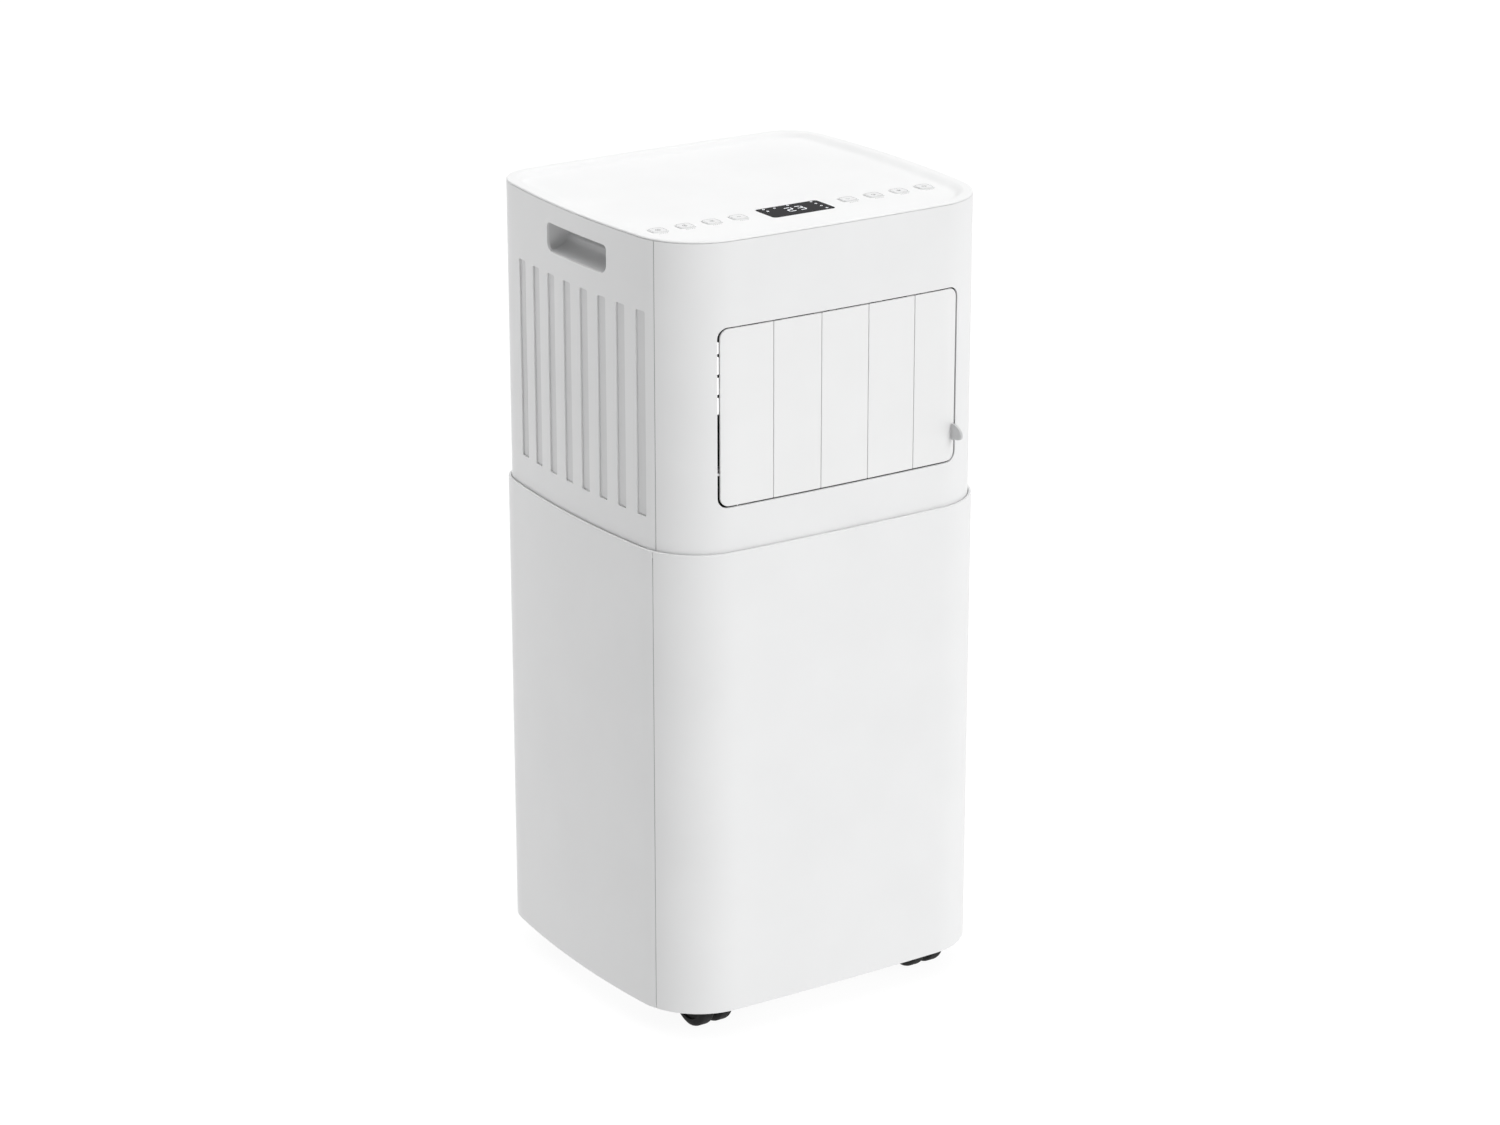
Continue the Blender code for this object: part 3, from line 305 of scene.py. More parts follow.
STEEL = surface(
    "turned_steel", (0.55, 0.56, 0.57), 0.36, 1.0, spread=0.07, stretch=(1.0, 12.0, 1.0)
)
SCREW = surface("screw_zinc", (0.62, 0.63, 0.64), 0.3, 1.0, spread=0.1, patches=300.0)
BOARD = surface("board_green", (0.03, 0.17, 0.08), 0.4, spread=0.2, patches=120.0)
FLOOR = surface(
    "studio_floor", (0.1, 0.1, 0.1), 0.9, spread=0.01, patches=0.6, grain=40.0, strength=0.02,
    glow=((1.0, 1.0, 1.0), 0.94), specular=0.05,
)


# -------- meshes


def placed(name, data):
    obj = bpy.data.objects.new(name, data)
    bpy.context.scene.collection.objects.link(obj)
    return obj


def solid(name, points, faces, material=None):
    """A closed mesh from points in millimetres. Without a material it is a cutter."""
    shape = bmesh.new()
    verts = [shape.verts.new(Vector(point) * MM) for point in points]
    for face in faces:
        shape.faces.new([verts[i] for i in face])
    bmesh.ops.recalc_face_normals(shape, faces=shape.faces)
    mesh = bpy.data.meshes.new(name)
    shape.to_mesh(mesh)
    shape.free()
    if material:
        mesh.materials.append(material)
    return placed(name, mesh)


def loft_faces(rings, closed):
    count = len(rings[0])
    faces = []
    for i in range(len(rings) if closed else len(rings) - 1):
        low = i * count
        high = (i + 1) % len(rings) * count
        for j in range(count):
            k = (j + 1) % count
            faces.append((low + j, low + k, high + k, high + j))
    if not closed:
        faces.append(tuple(range(count)))
        faces.append(tuple(range(count * (len(rings) - 1), count * len(rings))))
    return faces


def loft(name, rings, material=None, closed=False):
    """A solid through rings of equal length, capped at both ends unless it closes on itself."""
    points = [point for ring in rings for point in ring]
    return solid(name, points, loft_faces(rings, closed), material)


def on_axis(axis, across, along):
    u, v = across
    return {"X": (along, u, v), "Y": (u, along, v), "Z": (u, v, along)}[axis]


def prism(name, outline, axis, low, high, material=None):
    rings = [[on_axis(axis, point, end) for point in outline] for end in (low, high)]
    return loft(name, rings, material)


def circle(centre, radius, steps):
    turn = 2 * math.pi / steps
    return [
        (centre[0] + radius * math.sin(i * turn), centre[1] - radius * math.cos(i * turn))
        for i in range(steps)
    ]


def turned(name, profile, axis, centre, material=None, steps=64, closed=False):
    """A round solid: profile lists (position along the axis, radius). Closed makes it a ring."""
    rings = [
        [on_axis(axis, point, along) for point in circle(centre, radius, steps)]
        for along, radius in profile
    ]
    return loft(name, rings, material, closed)


def bow(middle, radius, first, last, steps=14):
    """Points of an arc between two angles in degrees."""
    angles = [math.radians(first + (last - first) * i / steps) for i in range(steps + 1)]
    return [(middle[0] + radius * math.cos(a), middle[1] + radius * math.sin(a)) for a in angles]


def rectangle(low, high, radius=0.0, steps=6, top_radius=None):
    """A rectangle with round corners. The two upper corners may have a radius of their own."""
    above = radius if top_radius is None else top_radius
    if not radius:
        return [low, (high[0], low[1]), high, (low[0], high[1])]
    middles = [
        (high[0] - radius, low[1] + radius, radius, -90),
        (high[0] - above, high[1] - above, above, 0),
        (low[0] + above, high[1] - above, above, 90),
        (low[0] + radius, low[1] + radius, radius, 180),
    ]
    points = []
    for x, y, size, start in middles:
        points += bow((x, y), size, start, start + 90, steps)
    return points


def box(name, low, high, material=None):
    return prism(name, rectangle(low[:2], high[:2]), "Z", low[2], high[2], material)


def settle(obj):
    """Makes the modifiers' result the object's own mesh."""
    graph = bpy.context.evaluated_depsgraph_get()
    mesh = bpy.data.meshes.new_from_object(obj.evaluated_get(graph), depsgraph=graph)
    obj.modifiers.clear()
    old = obj.data
    obj.data = mesh
    bpy.data.meshes.remove(old)


def merged(name, objs, material=None):
    """One object from several that don't touch."""
    points = []
    faces = []
    for obj in objs:
        start = len(points)
        points += [tuple(v.co / MM) for v in obj.data.vertices]
        faces += [tuple(start + i for i in face.vertices) for face in obj.data.polygons]
        bpy.data.objects.remove(obj)
    return solid(name, points, faces, material)


def boolean(obj, others, operation):
    other = others[0] if len(others) == 1 else merged("helper", others)
    modifier = obj.modifiers.new(operation, "BOOLEAN")
    modifier.operation = operation
    modifier.object = other
    settle(obj)
    bpy.data.objects.remove(other)


def cut(obj, *others):
    boolean(obj, others, "DIFFERENCE")


def join(obj, *others):
    for other in others:
        boolean(obj, [other], "UNION")


def keep_inside(obj, other):
    boolean(obj, [other], "INTERSECT")


def rounded(obj, width, segments=3):
    """Welds slivers, then rounds every sharp edge."""
    weld = obj.modifiers.new("weld", "WELD")
    weld.merge_threshold = 0.04 * MM
    bevel = obj.modifiers.new("round", "BEVEL")
    bevel.width = width * MM
    bevel.segments = segments
    bevel.limit_method = "ANGLE"
    bevel.angle_limit = math.radians(32)
    bevel.use_clamp_overlap = False
    settle(obj)


def dress(obj, body, slot, *nodes, edge=0.0, segments=3):
    """Finishes a piece: round edges, even shading, and its place in the frame."""
    if edge:
        rounded(obj, edge, segments)
    obj.data.shade_smooth()
    obj.data.set_sharp_from_angle(angle=math.radians(42))
    even = obj.modifiers.new("even shading", "WEIGHTED_NORMAL")
    even.keep_sharp = True
    settle(obj)
    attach(obj, body)
    if nodes:
        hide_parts(*nodes)
    return obj


def dress_shell(obj, *nodes, edge=0.35, segments=3):
    """Finishes a white part of the housing."""
    dress(obj, "housing", "white_shell", *nodes, edge=edge, segments=segments)


def repaint(material, *names):
    """Gives CAD nodes that stay in view a finished material."""
    for name in names:
        obj = frame["nodes"][name]
        for place in obj.material_slots:
            place.material = material


# -------- the outline


def corner_centre(face, side, radius):
    to_face = FACE_RADIUS - radius
    to_side = SIDE_RADIUS - radius
    across = side - face
    along = (to_face**2 - to_side**2 + across.length**2) / (2 * across.length)
    off = math.sqrt(to_face**2 - along**2)
    middle = face + across.normalized() * along
    sideways = Vector((-across.y, across.x)).normalized() * off
    return max(middle + sideways, middle - sideways, key=lambda point: point.x)


def heading(start, end):
    return math.atan2(end.y - start.y, end.x - start.x)


def plan_arcs():
    """The right half of the outline, front to back: centre, radius, start and end angle."""
    front = Vector((0, FACE_RADIUS - HALF_DEPTH))
    back = -front
    side = Vector((HALF_WIDTH - SIDE_RADIUS, 0))
    near = corner_centre(front, side, FRONT_CORNER)
    far = corner_centre(back, side, REAR_CORNER)
    turns = [
        -math.pi / 2,
        heading(front, near),
        heading(side, near),
        heading(side, far),
        heading(back, far),
        math.pi / 2,
    ]
    centres = [front, near, side, far, back]
    radii = [FACE_RADIUS, FRONT_CORNER, SIDE_RADIUS, REAR_CORNER, FACE_RADIUS]
    return list(zip(centres, radii, turns, turns[1:]))


FRONT_FACE, FRONT_TURN, SIDE, REAR_TURN, BACK_FACE = plan_arcs()


def arc(piece, inset, steps, start=None, end=None):
    centre, radius, first, last = piece
    first = first if start is None else start
    last = last if end is None else end
    angles = [first + (last - first) * i / steps for i in range(steps + 1)]
    reach = radius - inset
    return [(centre.x + reach * math.cos(a), centre.y + reach * math.sin(a)) for a in angles]


def mirrored(points):
    return [(-x, y) for x, y in reversed(points)]


def seam_angle(inset, y):
    centre, radius, _, _ = FRONT_TURN
    return math.asin((y - centre.y) / (radius - inset))


def back_angle(inset, x):
    return math.acos(x / (BACK_FACE[1] - inset))


def whole_outline(inset):
    half = arc(FRONT_FACE, inset, FACE_STEPS)
    half += arc(FRONT_TURN, inset, CORNER_STEPS)[1:]
    half += arc(SIDE, inset, SIDE_STEPS)[1:]
    half += arc(REAR_TURN, inset, CORNER_STEPS)[1:]
    half += arc(BACK_FACE, inset, FACE_STEPS)[1:]
    return half + mirrored(half)[1:-1]


def front_path(inset):
    end = seam_angle(inset, FRONT_SEAM_Y - SEAM / 2)
    half = arc(FRONT_FACE, inset, FACE_STEPS)
    half += arc(FRONT_TURN, inset, CORNER_STEPS, end=end)[1:]
    return mirrored(half)[:-1] + half


def side_path(inset):
    start = seam_angle(inset, FRONT_SEAM_Y + SEAM / 2)
    end = back_angle(inset, BACK_SEAM_X + SEAM / 2)
    path = arc(FRONT_TURN, inset, 8, start=start)
    path += arc(SIDE, inset, SIDE_STEPS)[1:]
    path += arc(REAR_TURN, inset, CORNER_STEPS)[1:]
    path += arc(BACK_FACE, inset, 2, end=end)[1:]
    return path


def left_side_path(inset):
    return mirrored(side_path(inset))


def back_path(inset):
    half = arc(BACK_FACE, inset, FACE_STEPS, start=back_angle(inset, BACK_SEAM_X - SEAM / 2))
    return half + mirrored(half)[1:]


def seam_track(half):
    """The path across the seam between the front and the right side, half to each side of it."""

    def path(inset):
        middle = seam_angle(inset, FRONT_SEAM_Y)
        spread = half / FRONT_CORNER
        return arc(FRONT_TURN, inset, 6, start=middle - spread, end=middle + spread)

    return path


def back_seam_track(half):
    """The path across the seam between the back and the right side, half to each side of it."""

    def path(inset):
        start = back_angle(inset, BACK_SEAM_X + half)
        return arc(BACK_FACE, inset, 6, start=start, end=back_angle(inset, BACK_SEAM_X - half))

    return path


def front_y(x, inset=0.0):
    turn = FRONT_TURN[0]
    if abs(x) > turn.x:
        return turn.y - math.sqrt((FRONT_CORNER - inset) ** 2 - (abs(x) - turn.x) ** 2)
    return FRONT_FACE[0].y - math.sqrt((FACE_RADIUS - inset) ** 2 - x**2)


def back_y(x):
    return math.sqrt(FACE_RADIUS**2 - x**2) - FRONT_FACE[0].y


def panel(name, path, section, material):
    """A wall that follows a path, with its section given as (inset, z) points."""
    tracks = {inset: path(inset) for inset, _ in section}
    stations = range(len(tracks[section[0][0]]))
    rings = [[(*tracks[inset][i], z) for inset, z in section] for i in stations]
    return loft(name, rings, material)


def low_of(name):
    """A CAD node's lowest corner in millimetres."""
    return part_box(name)[0] / MM


def high_of(name):
    """A CAD node's highest corner in millimetres."""
    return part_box(name)[1] / MM


def span_of(name):
    """Both of those corners."""
    return low_of(name), high_of(name)


def middle_of(name):
    return (low_of(name) + high_of(name)) / 2


# -------- shells

WAIST = high_of("lower_front_panel").z
SHELL_BOTTOM = low_of("lower_front_panel").z
SIDE_TOP = high_of("upper_side_panel_left").z
GROOVE_FLOOR = WAIST - GROOVE_DEPTH
TRAY_TOP = high_of("key_1").z - 0.6


def lower_section():
    """The lower shell, whose rim stands round the foot of the upper one across a groove."""
    outer = -STEP
    rim = -GROOVE
    section = [(outer, SHELL_BOTTOM)]
    corner = bow((outer + LEDGE_ROUND, WAIST - LEDGE_ROUND), LEDGE_ROUND, 90, 180, 5)
    section += reversed(corner)
    section += [(rim - 0.4, WAIST), (rim, WAIST - 0.4)]
    section += [(rim, GROOVE_FLOOR), (WALL + 3, GROOVE_FLOOR), (WALL + 3, GROOVE_FLOOR - 2)]
    section += [(WALL - STEP, GROOVE_FLOOR - 2), (WALL - STEP, SHELL_BOTTOM)]
    return [(round(inset, 4), z) for inset, z in section]


def upper_section():
    low = GROOVE_FLOOR + 0.3
    return [(0.0, low), (0.0, SIDE_TOP), (WALL, SIDE_TOP), (WALL, low)]


def back_hole(centre, radius):
    span = [(HALF_DEPTH - THROUGH, radius), (HALF_DEPTH + THROUGH, radius)]
    return turned("hole", span, "Y", centre)


def back_window(name, clearance):
    """A cutter for the opening round a CAD node in the back wall."""
    low, high = span_of(name)
    corners = (low.x - clearance, low.z - clearance), (high.x + clearance, high.z + clearance)
    outline = rectangle(*corners, 6.0)
    return prism("window", outline, "Y", HALF_DEPTH - THROUGH, HALF_DEPTH + THROUGH)


def drain_place(name):
    middle = middle_of(name)
    return middle.x, middle.z


def lower_shells():
    section = lower_section()
    front = panel("shell_lower_front", front_path, section, SHELL)
    dress_shell(front, "lower_front_panel")
    for label, path in (("left", left_side_path), ("right", side_path)):
        side = panel(f"shell_lower_side_{label}", path, section, SHELL)
        dress_shell(side, f"lower_side_panel_{label}")
    back = panel("shell_lower_back", back_path, section, SHELL)
    collar = middle_of("exhaust_collar")
    gland = middle_of("cord_gland")
    cut(
        back,
        back_window("rear_grille", 0.4),
        back_hole((collar.x, collar.z), COLLAR_RADIUS + 0.4),
        back_hole((gland.x, gland.z), GLAND_HOLE),
        back_hole(drain_place("drain_cap_lower"), DRAIN_HOLE),
    )
    dress_shell(back, "lower_back_panel")


def side_cutter(y_span, z_span, radius, side, top_radius=None):
    outline = rectangle((y_span[0], z_span[0]), (y_span[1], z_span[1]), radius, 8, top_radius)
    ends = sorted((side * (HALF_WIDTH - THROUGH), side * (HALF_WIDTH + THROUGH)))
    return prism("side_hole", outline, "X", *ends)


def slot_centres():
    return [SLOT_CENTRE_Y + (i - (SLOTS - 1) / 2) * SLOT_PITCH for i in range(SLOTS)]


def upper_shells():
    front = panel("shell_upper_front", front_path, upper_section(), SHELL)
    outline = rectangle(*OUTLET, OUTLET_CORNER, 10)
    cut(front, prism("outlet", outline, "Y", -HALF_DEPTH - THROUGH, -HALF_DEPTH + THROUGH))
    dress_shell(front, "upper_front_panel", edge=0.4)
    for label, path, side in (("left", left_side_path, -1), ("right", side_path, 1)):
        wall = panel(f"shell_upper_side_{label}", path, upper_section(), SHELL)
        holes = [
            side_cutter((y - SLOT_WIDTH / 2, y + SLOT_WIDTH / 2), SLOT_Z, 1.6, side)
            for y in slot_centres()
        ]
        cut(wall, *holes, side_cutter(HANDLE_Y, HANDLE_Z, 8.5, side, 4.5))
        dress_shell(wall, f"upper_side_panel_{label}")
    back = panel("shell_upper_back", back_path, upper_section(), SHELL)
    hole = back_hole(drain_place("drain_cap_upper"), DRAIN_HOLE)
    cut(back, back_window("filter_door", 0.6), hole)
    dress_shell(back, "upper_back_panel")


def seam_strips():
    """Grey strips in the seams, painted shade for the seam lines: a narrow tongue that fills the
    gap and a wide foot behind it.
    """
    levels = (
        ("upper", 0.0, GROOVE_FLOOR + 1, SIDE_TOP - 1),
        ("lower", STEP, SHELL_BOTTOM + 3, GROOVE_FLOOR - 3),
    )
    for end, track in (("front", seam_track), ("back", back_seam_track)):
        for hand in ("left", "right"):
            for level, step, low, high in levels:
                parts = []
                for half, near, far in (SEAM_TONGUE, SEAM_FOOT):
                    near, far = round(near - step, 4), round(far - step, 4)
                    section = [(near, low), (near, high), (far, high), (far, low)]
                    way = track(half)
                    path = way if hand == "right" else lambda inset, way=way: mirrored(way(inset))
                    parts.append(panel(f"seam_{level}_{end}_{hand}", path, section, SEAM_SHADE))
                join(*parts)
                dress_shell(parts[0], edge=0.0)


def key_centre(index):
    middle = middle_of(f"key_{index}")
    return middle.x, middle.y


def centred(x, y, width, depth, radius, steps=8):
    return rectangle((x - width / 2, y - depth / 2), (x + width / 2, y + depth / 2), radius, steps)


def lid():
    """The top cover: a soft rim round a sunken tray, and a skirt that drops inside the panels."""
    underside = TRAY_TOP - WALL
    skirt = WALL + 1.2
    rim_top = SIDE_TOP + 2.0
    section = [
        (25.0, underside),
        (skirt + 2.2, underside),
        (skirt + 2.2, SIDE_TOP - 10),
        (skirt, SIDE_TOP - 10),
        (skirt, SIDE_TOP + 0.25),
        (0.3, SIDE_TOP + 0.25),
        (0.0, SIDE_TOP + 0.5),
        (0.0, rim_top - 1.3),
        (0.22, rim_top - 0.65),
        (0.7, rim_top - 0.2),
        (1.4, rim_top),
        (7.4, rim_top),
        (8.4, rim_top - 0.15),
        (9.6, rim_top - 0.6),
        (10.8, rim_top - 1.35),
        (12.2, rim_top - 2.4),
        (13.6, TRAY_TOP + 0.9),
        (15.2, TRAY_TOP + 0.35),
        (17.2, TRAY_TOP + 0.08),
        (20.0, TRAY_TOP),
    ]
    rings = [[(*point, z) for point in whole_outline(inset)] for inset, z in section]
    cover = loft("lid", rings, LID)
    holes = []
    for i in range(1, KEYS + 1):
        outline = centred(*key_centre(i), KEY_SIZE + 0.9, KEY_SIZE + 0.9, KEY_CORNER + 0.4)
        holes.append(prism("key_hole", outline, "Z", underside - 5, TRAY_TOP + 5))
    window = middle_of("display_window")
    size = high_of("display_window") - low_of("display_window")
    outline = centred(window.x, window.y, size.x + 0.7, size.y + 0.7, WINDOW_CORNER + 0.3)
    holes.append(prism("window_hole", outline, "Z", underside - 5, TRAY_TOP + 5))
    cut(cover, *holes)
    dress_shell(cover, "top_cover", edge=0.22, segments=2)


def handle_pockets():
    """Pockets behind the side panels: the floor rises inwards in one sweep to the back wall. Their
    darker white is painted shade for the recess.
    """
    for label, side in (("left", -1), ("right", 1)):
        name = f"handle_cup_{label}"
        low, high = span_of(name)
        front = HALF_WIDTH - 3.2
        back = min(abs(low.x), abs(high.x)) + 2.0
        outline = rectangle((side * (back - 2.0), low.z), (side * front, high.z))
        pocket = prism(f"pocket_{label}", outline, "Y", low.y, high.y, POCKET_SHADE)
        floor = HANDLE_Z[0] - 0.6
        profile = [(side * (front + THROUGH), floor), (side * (front - 4), floor)]
        for i in range(9):
            share = i / 8
            rise = 6.5 * share**2
            profile.append((side * (front - 4 - (front - 9 - back) * share), floor + rise))
        ceiling = high.z - 1.6
        profile += [
            (side * (back + 4.4), floor + 9.5),
            (side * (back + 4.0), floor + 12.0),
            (side * back, floor + 12.6),
            (side * back, ceiling),
            (side * (front + THROUGH), ceiling),
        ]
        room = prism("room", profile, "Y", HANDLE_Y[0] - 0.3, HANDLE_Y[1] + 0.3)
        rounded(room, 1.2, 4)
        cut(pocket, room)
        dress_shell(pocket, name, edge=0.25)


def intake_screens():
    """The intakes' backing: a curved sheet on each side, raised into every slot, in a darker white
    that is painted shade for the slots.
    """

    def path(inset):
        start = seam_angle(inset, slot_centres()[0] - SLOT_WIDTH)
        end = math.asin((slot_centres()[-1] + SLOT_WIDTH) / (SIDE[1] - inset))
        return arc(FRONT_TURN, inset, 4, start=start) + arc(SIDE, inset, SIDE_STEPS, end=end)[1:]

    low, high = SLOT_Z[0] - 5, SLOT_Z[1] + 8
    for label, side in (("left", -1), ("right", 1)):
        way = path if side > 0 else lambda inset: mirrored(path(inset))
        sheets = []
        for name, near, far in (
            ("pads", SCREEN_DEPTH, WALL + 1.0),
            (f"screen_{label}", WALL + 0.3, WALL + 1.8),
        ):
            section = [(near, low), (near, high), (far, high), (far, low)]
            sheets.append(panel(name, way, section, SCREEN_SHADE))
        pads, sheet = sheets
        half = SLOT_WIDTH / 2 - 0.3
        span = SLOT_Z[0] + 0.3, SLOT_Z[1] - 0.3
        fills = [side_cutter((y - half, y + half), span, 1.3, side) for y in slot_centres()]
        keep_inside(pads, merged("fills", fills))
        join(sheet, pads)
        dress(sheet, "housing", "white_intake", f"intake_screen_{label}", edge=0.15, segments=2)


# -------- controls


def stroke(path, width, low, high, closed=False):
    """A flat ribbon with a rectangular section along a path: (points, faces)."""
    rings = []
    last = len(path) - 1
    for i, (x, y) in enumerate(path):
        before = path[i - 1] if i or closed else path[i]
        after = path[(i + 1) % len(path)] if i < last or closed else path[i]
        way = Vector((after[0] - before[0], after[1] - before[1])).normalized()
        off = Vector((-way.y, way.x)) * width / 2
        rings.append([
            (x + off.x, y + off.y, low), (x + off.x, y + off.y, high),
            (x - off.x, y - off.y, high), (x - off.x, y - off.y, low),
        ])
    return [point for ring in rings for point in ring], loft_faces(rings, closed)


def strokes(name, paths, width, low, high, material, centre=(0.0, 0.0)):
    """One object from several ribbons. A path that ends where it starts closes on itself."""
    points = []
    faces = []
    for path in paths:
        closed = len(path) > 2 and path[0] == path[-1]
        path = [(x + centre[0], y + centre[1]) for x, y in (path[:-1] if closed else path)]
        more, rows = stroke(path, width, low, high, closed)
        faces += [tuple(len(points) + i for i in row) for row in rows]
        points += more
    return solid(name, points, faces, material)


def ring(middle, radius, steps=20):
    points = bow(middle, radius, 0, 360 - 360 / steps, steps - 1)
    return points + points[:1]


def key_signs():
    """Generic signs, left to right: timer, sleep, mode, up, down, fan, cooling and power."""
    petals = [bow((0.95 * math.cos(a), 0.95 * math.sin(a)), 0.95, math.degrees(a) - 150,
                  math.degrees(a) + 60, 8) for a in (0.5, 2.6, 4.7)]
    spokes = [[(-2.1 * math.cos(a), -2.1 * math.sin(a)), (2.1 * math.cos(a), 2.1 * math.sin(a))]
              for a in (math.pi / 2, math.pi / 6, -math.pi / 6)]
    return [
        [ring((0, 0), 2.1), [(0, 1.3), (0, 0), (1.0, 0)]],
        [bow((0, 0), 2.1, 50, 310), bow((1.5, 0), 1.75, 115, 245)],
        [[(-2.0, 1.3), (2.0, 1.3)], [(-1.5, 0), (2.0, 0)], [(-0.8, -1.3), (2.0, -1.3)]],
        [[(-1.9, -0.9), (0, 1.1), (1.9, -0.9)]],
        [[(-1.9, 0.9), (0, -1.1), (1.9, 0.9)]],
        petals,
        spokes,
        [bow((0, 0), 2.0, 125, 415), [(0, 0.5), (0, 2.6)]],
    ]


def keys():
    """Push keys with soft edges, each with its sign, and a row of small dashes for its legend."""
    legends = []
    top = high_of("key_1").z
    bottom = low_of("key_1").z
    for i, sign in enumerate(key_signs(), 1):
        x, y = key_centre(i)
        levels = [
            (bottom, KEY_FOOT),
            (bottom + 2.0, KEY_FOOT),
            (bottom + 2.0, KEY_SIZE),
            (top - 0.45, KEY_SIZE),
            (top - 0.2, KEY_SIZE - 0.14),
            (top - 0.05, KEY_SIZE - 0.45),
            (top, KEY_SIZE - 0.95),
            (top - 0.1, KEY_SIZE - 4.6),
        ]
        rings = [
            [(*point, z) for point in centred(x, y, size, size, size * 0.23)] for z, size in levels
        ]
        cap = loft(f"key_cap_{i}", rings, KEY)
        dress(cap, f"key_{i}", "white_key", f"key_{i}")
        outline = rectangle((-FRAME_HALF, -FRAME_HALF), (FRAME_HALF, FRAME_HALF), 2.7, 6)
        lines = sign + [outline + outline[:1]]
        mark = strokes(f"key_mark_{i}", lines, MARK_WIDTH, top - 0.3, top + 0.02, INK, (x, y))
        dress(mark, f"key_{i}", "white_key")
        for j in range(-2, 3):
            u, v = x - 0.8 + j * LEGEND_PITCH, y - 9.9
            legends.append([(u - LEGEND_HALF, v), (u + LEGEND_HALF, v)])
    dashes = strokes("key_legends", legends, LEGEND_WIDTH, TRAY_TOP - 0.1, TRAY_TOP + 0.05, INK)
    dress_shell(dashes, edge=0.0)


def segments(digit, x, y, width, height):
    """The lit bars of a seven-segment digit whose middle is at x, y."""
    lit = {2: "abged", 3: "abgcd"}[digit]
    gap = 0.55
    half_w, half_h = width / 2, height / 2
    bars = {
        "a": [(-half_w + gap, half_h), (half_w - gap, half_h)],
        "b": [(half_w, half_h - gap), (half_w, gap)],
        "c": [(half_w, -gap), (half_w, -half_h + gap)],
        "d": [(-half_w + gap, -half_h), (half_w - gap, -half_h)],
        "e": [(-half_w, -gap), (-half_w, -half_h + gap)],
        "g": [(-half_w + gap, 0), (half_w - gap, 0)],
    }
    return [[(x + u, y + v) for u, v in bars[name]] for name in lit]


def display():
    low, high = span_of("display_window")
    middle = (low + high) / 2
    size = high - low
    outline = centred(middle.x, middle.y, size.x, size.y, WINDOW_CORNER)
    glass = prism("window_glass", outline, "Z", low.z, high.z, GLASS)
    dress(glass, "housing", "black_window", "display_window", edge=0.25)
    base = high.z - 0.05
    bars = segments(2, middle.x - DIGIT_OFFSET, middle.y, *DIGIT)
    bars += segments(3, middle.x + DIGIT_OFFSET, middle.y, *DIGIT)
    digits = strokes("window_digits", bars, DIGIT_STROKE, base, base + 0.15, LIGHT)
    dress(digits, "housing", "black_window")
    signs = [
        ring((middle.x + x, middle.y + y), INDICATOR_RADIUS, 12) for x, y in INDICATORS
    ]
    icons = strokes("window_icons", signs, INDICATOR_STROKE, base, base + 0.15, LIGHT)
    dress(icons, "housing", "black_window")


# -------- louvre


def blade_line(index):
    return BLADE_FIRST_LINE + index * BLADE_PITCH


def blade_front(x):
    return front_y(x) + BLADE_RECESS


def pivot(index):
    axis = frame_axis(f"louvre_{index + 1}_turn")
    return axis.x, axis.y


def blade_outline(index):
    """A plate in the face of the panel and, but for the first, a strip behind its neighbour."""
    line = blade_line(index)
    right = min(blade_line(index + 1), BLADE_ENDS[1] + 1)
    left = line + 0.5 if index else BLADE_ENDS[0] - 1
    steps = 10
    front = [(left + (right - left) * i / steps, 0.0) for i in range(steps + 1)]
    back = [(x, BLADE_THICK) for x, _ in reversed(front) if x > line + 6 or not index]
    plate = front + back
    if index:
        strip = BLADE_THICK + 0.7
        plate += [(line + 3.4, BLADE_THICK), (line + 3.4, BLADE_BACK)]
        plate += [(line - BLADE_LAP, BLADE_BACK), (line - BLADE_LAP, strip), (left, strip)]
    return [(x, blade_front(x) + depth) for x, depth in plate]


def blades():
    for i in range(BLADES):
        name = f"louvre_blade_{i + 1}"
        foot, head = low_of(name).z, high_of(name).z
        low, high = foot + BLADE_MARGIN, head - BLADE_MARGIN
        x, y = pivot(i)
        spare = 1.0 if i in (0, BLADES - 1) else 0.0
        blade = prism(f"blade_{i + 1}", blade_outline(i), "Z", low - spare, high + spare, LOUVRE)
        if spare:
            bounds = rectangle((BLADE_ENDS[0], low), (BLADE_ENDS[1], high), BLADE_CORNER, 10)
            keep_inside(blade, prism("bounds", bounds, "Y", y - 20, y + 20))
        rounded(blade, 0.55)
        shaft = [(foot, PIVOT_RADIUS), (low, PIVOT_RADIUS), (low, SHAFT_RADIUS)]
        shaft += [(high, SHAFT_RADIUS), (high, PIVOT_RADIUS), (head, PIVOT_RADIUS)]
        arm = [(-8.0, -1.0), (-8.0, 9.5), (-24.5, 9.5), (-24.5, 4.6), (-17.5, -1.0)]
        crank = prism("crank", [(x + u, y + v) for u, v in arm], "Z", *CRANK_Z)
        profile = [(z, PIN_RADIUS) for z in PIN_Z]
        pin = turned("pin", profile, "Z", (x + CRANK_X, y + CRANK_Y), None, 16)
        join(blade, turned("shaft", shaft, "Z", (x, y), None, 24), crank, pin)
        dress(blade, f"louvre_{i + 1}", "white_louvre", name)


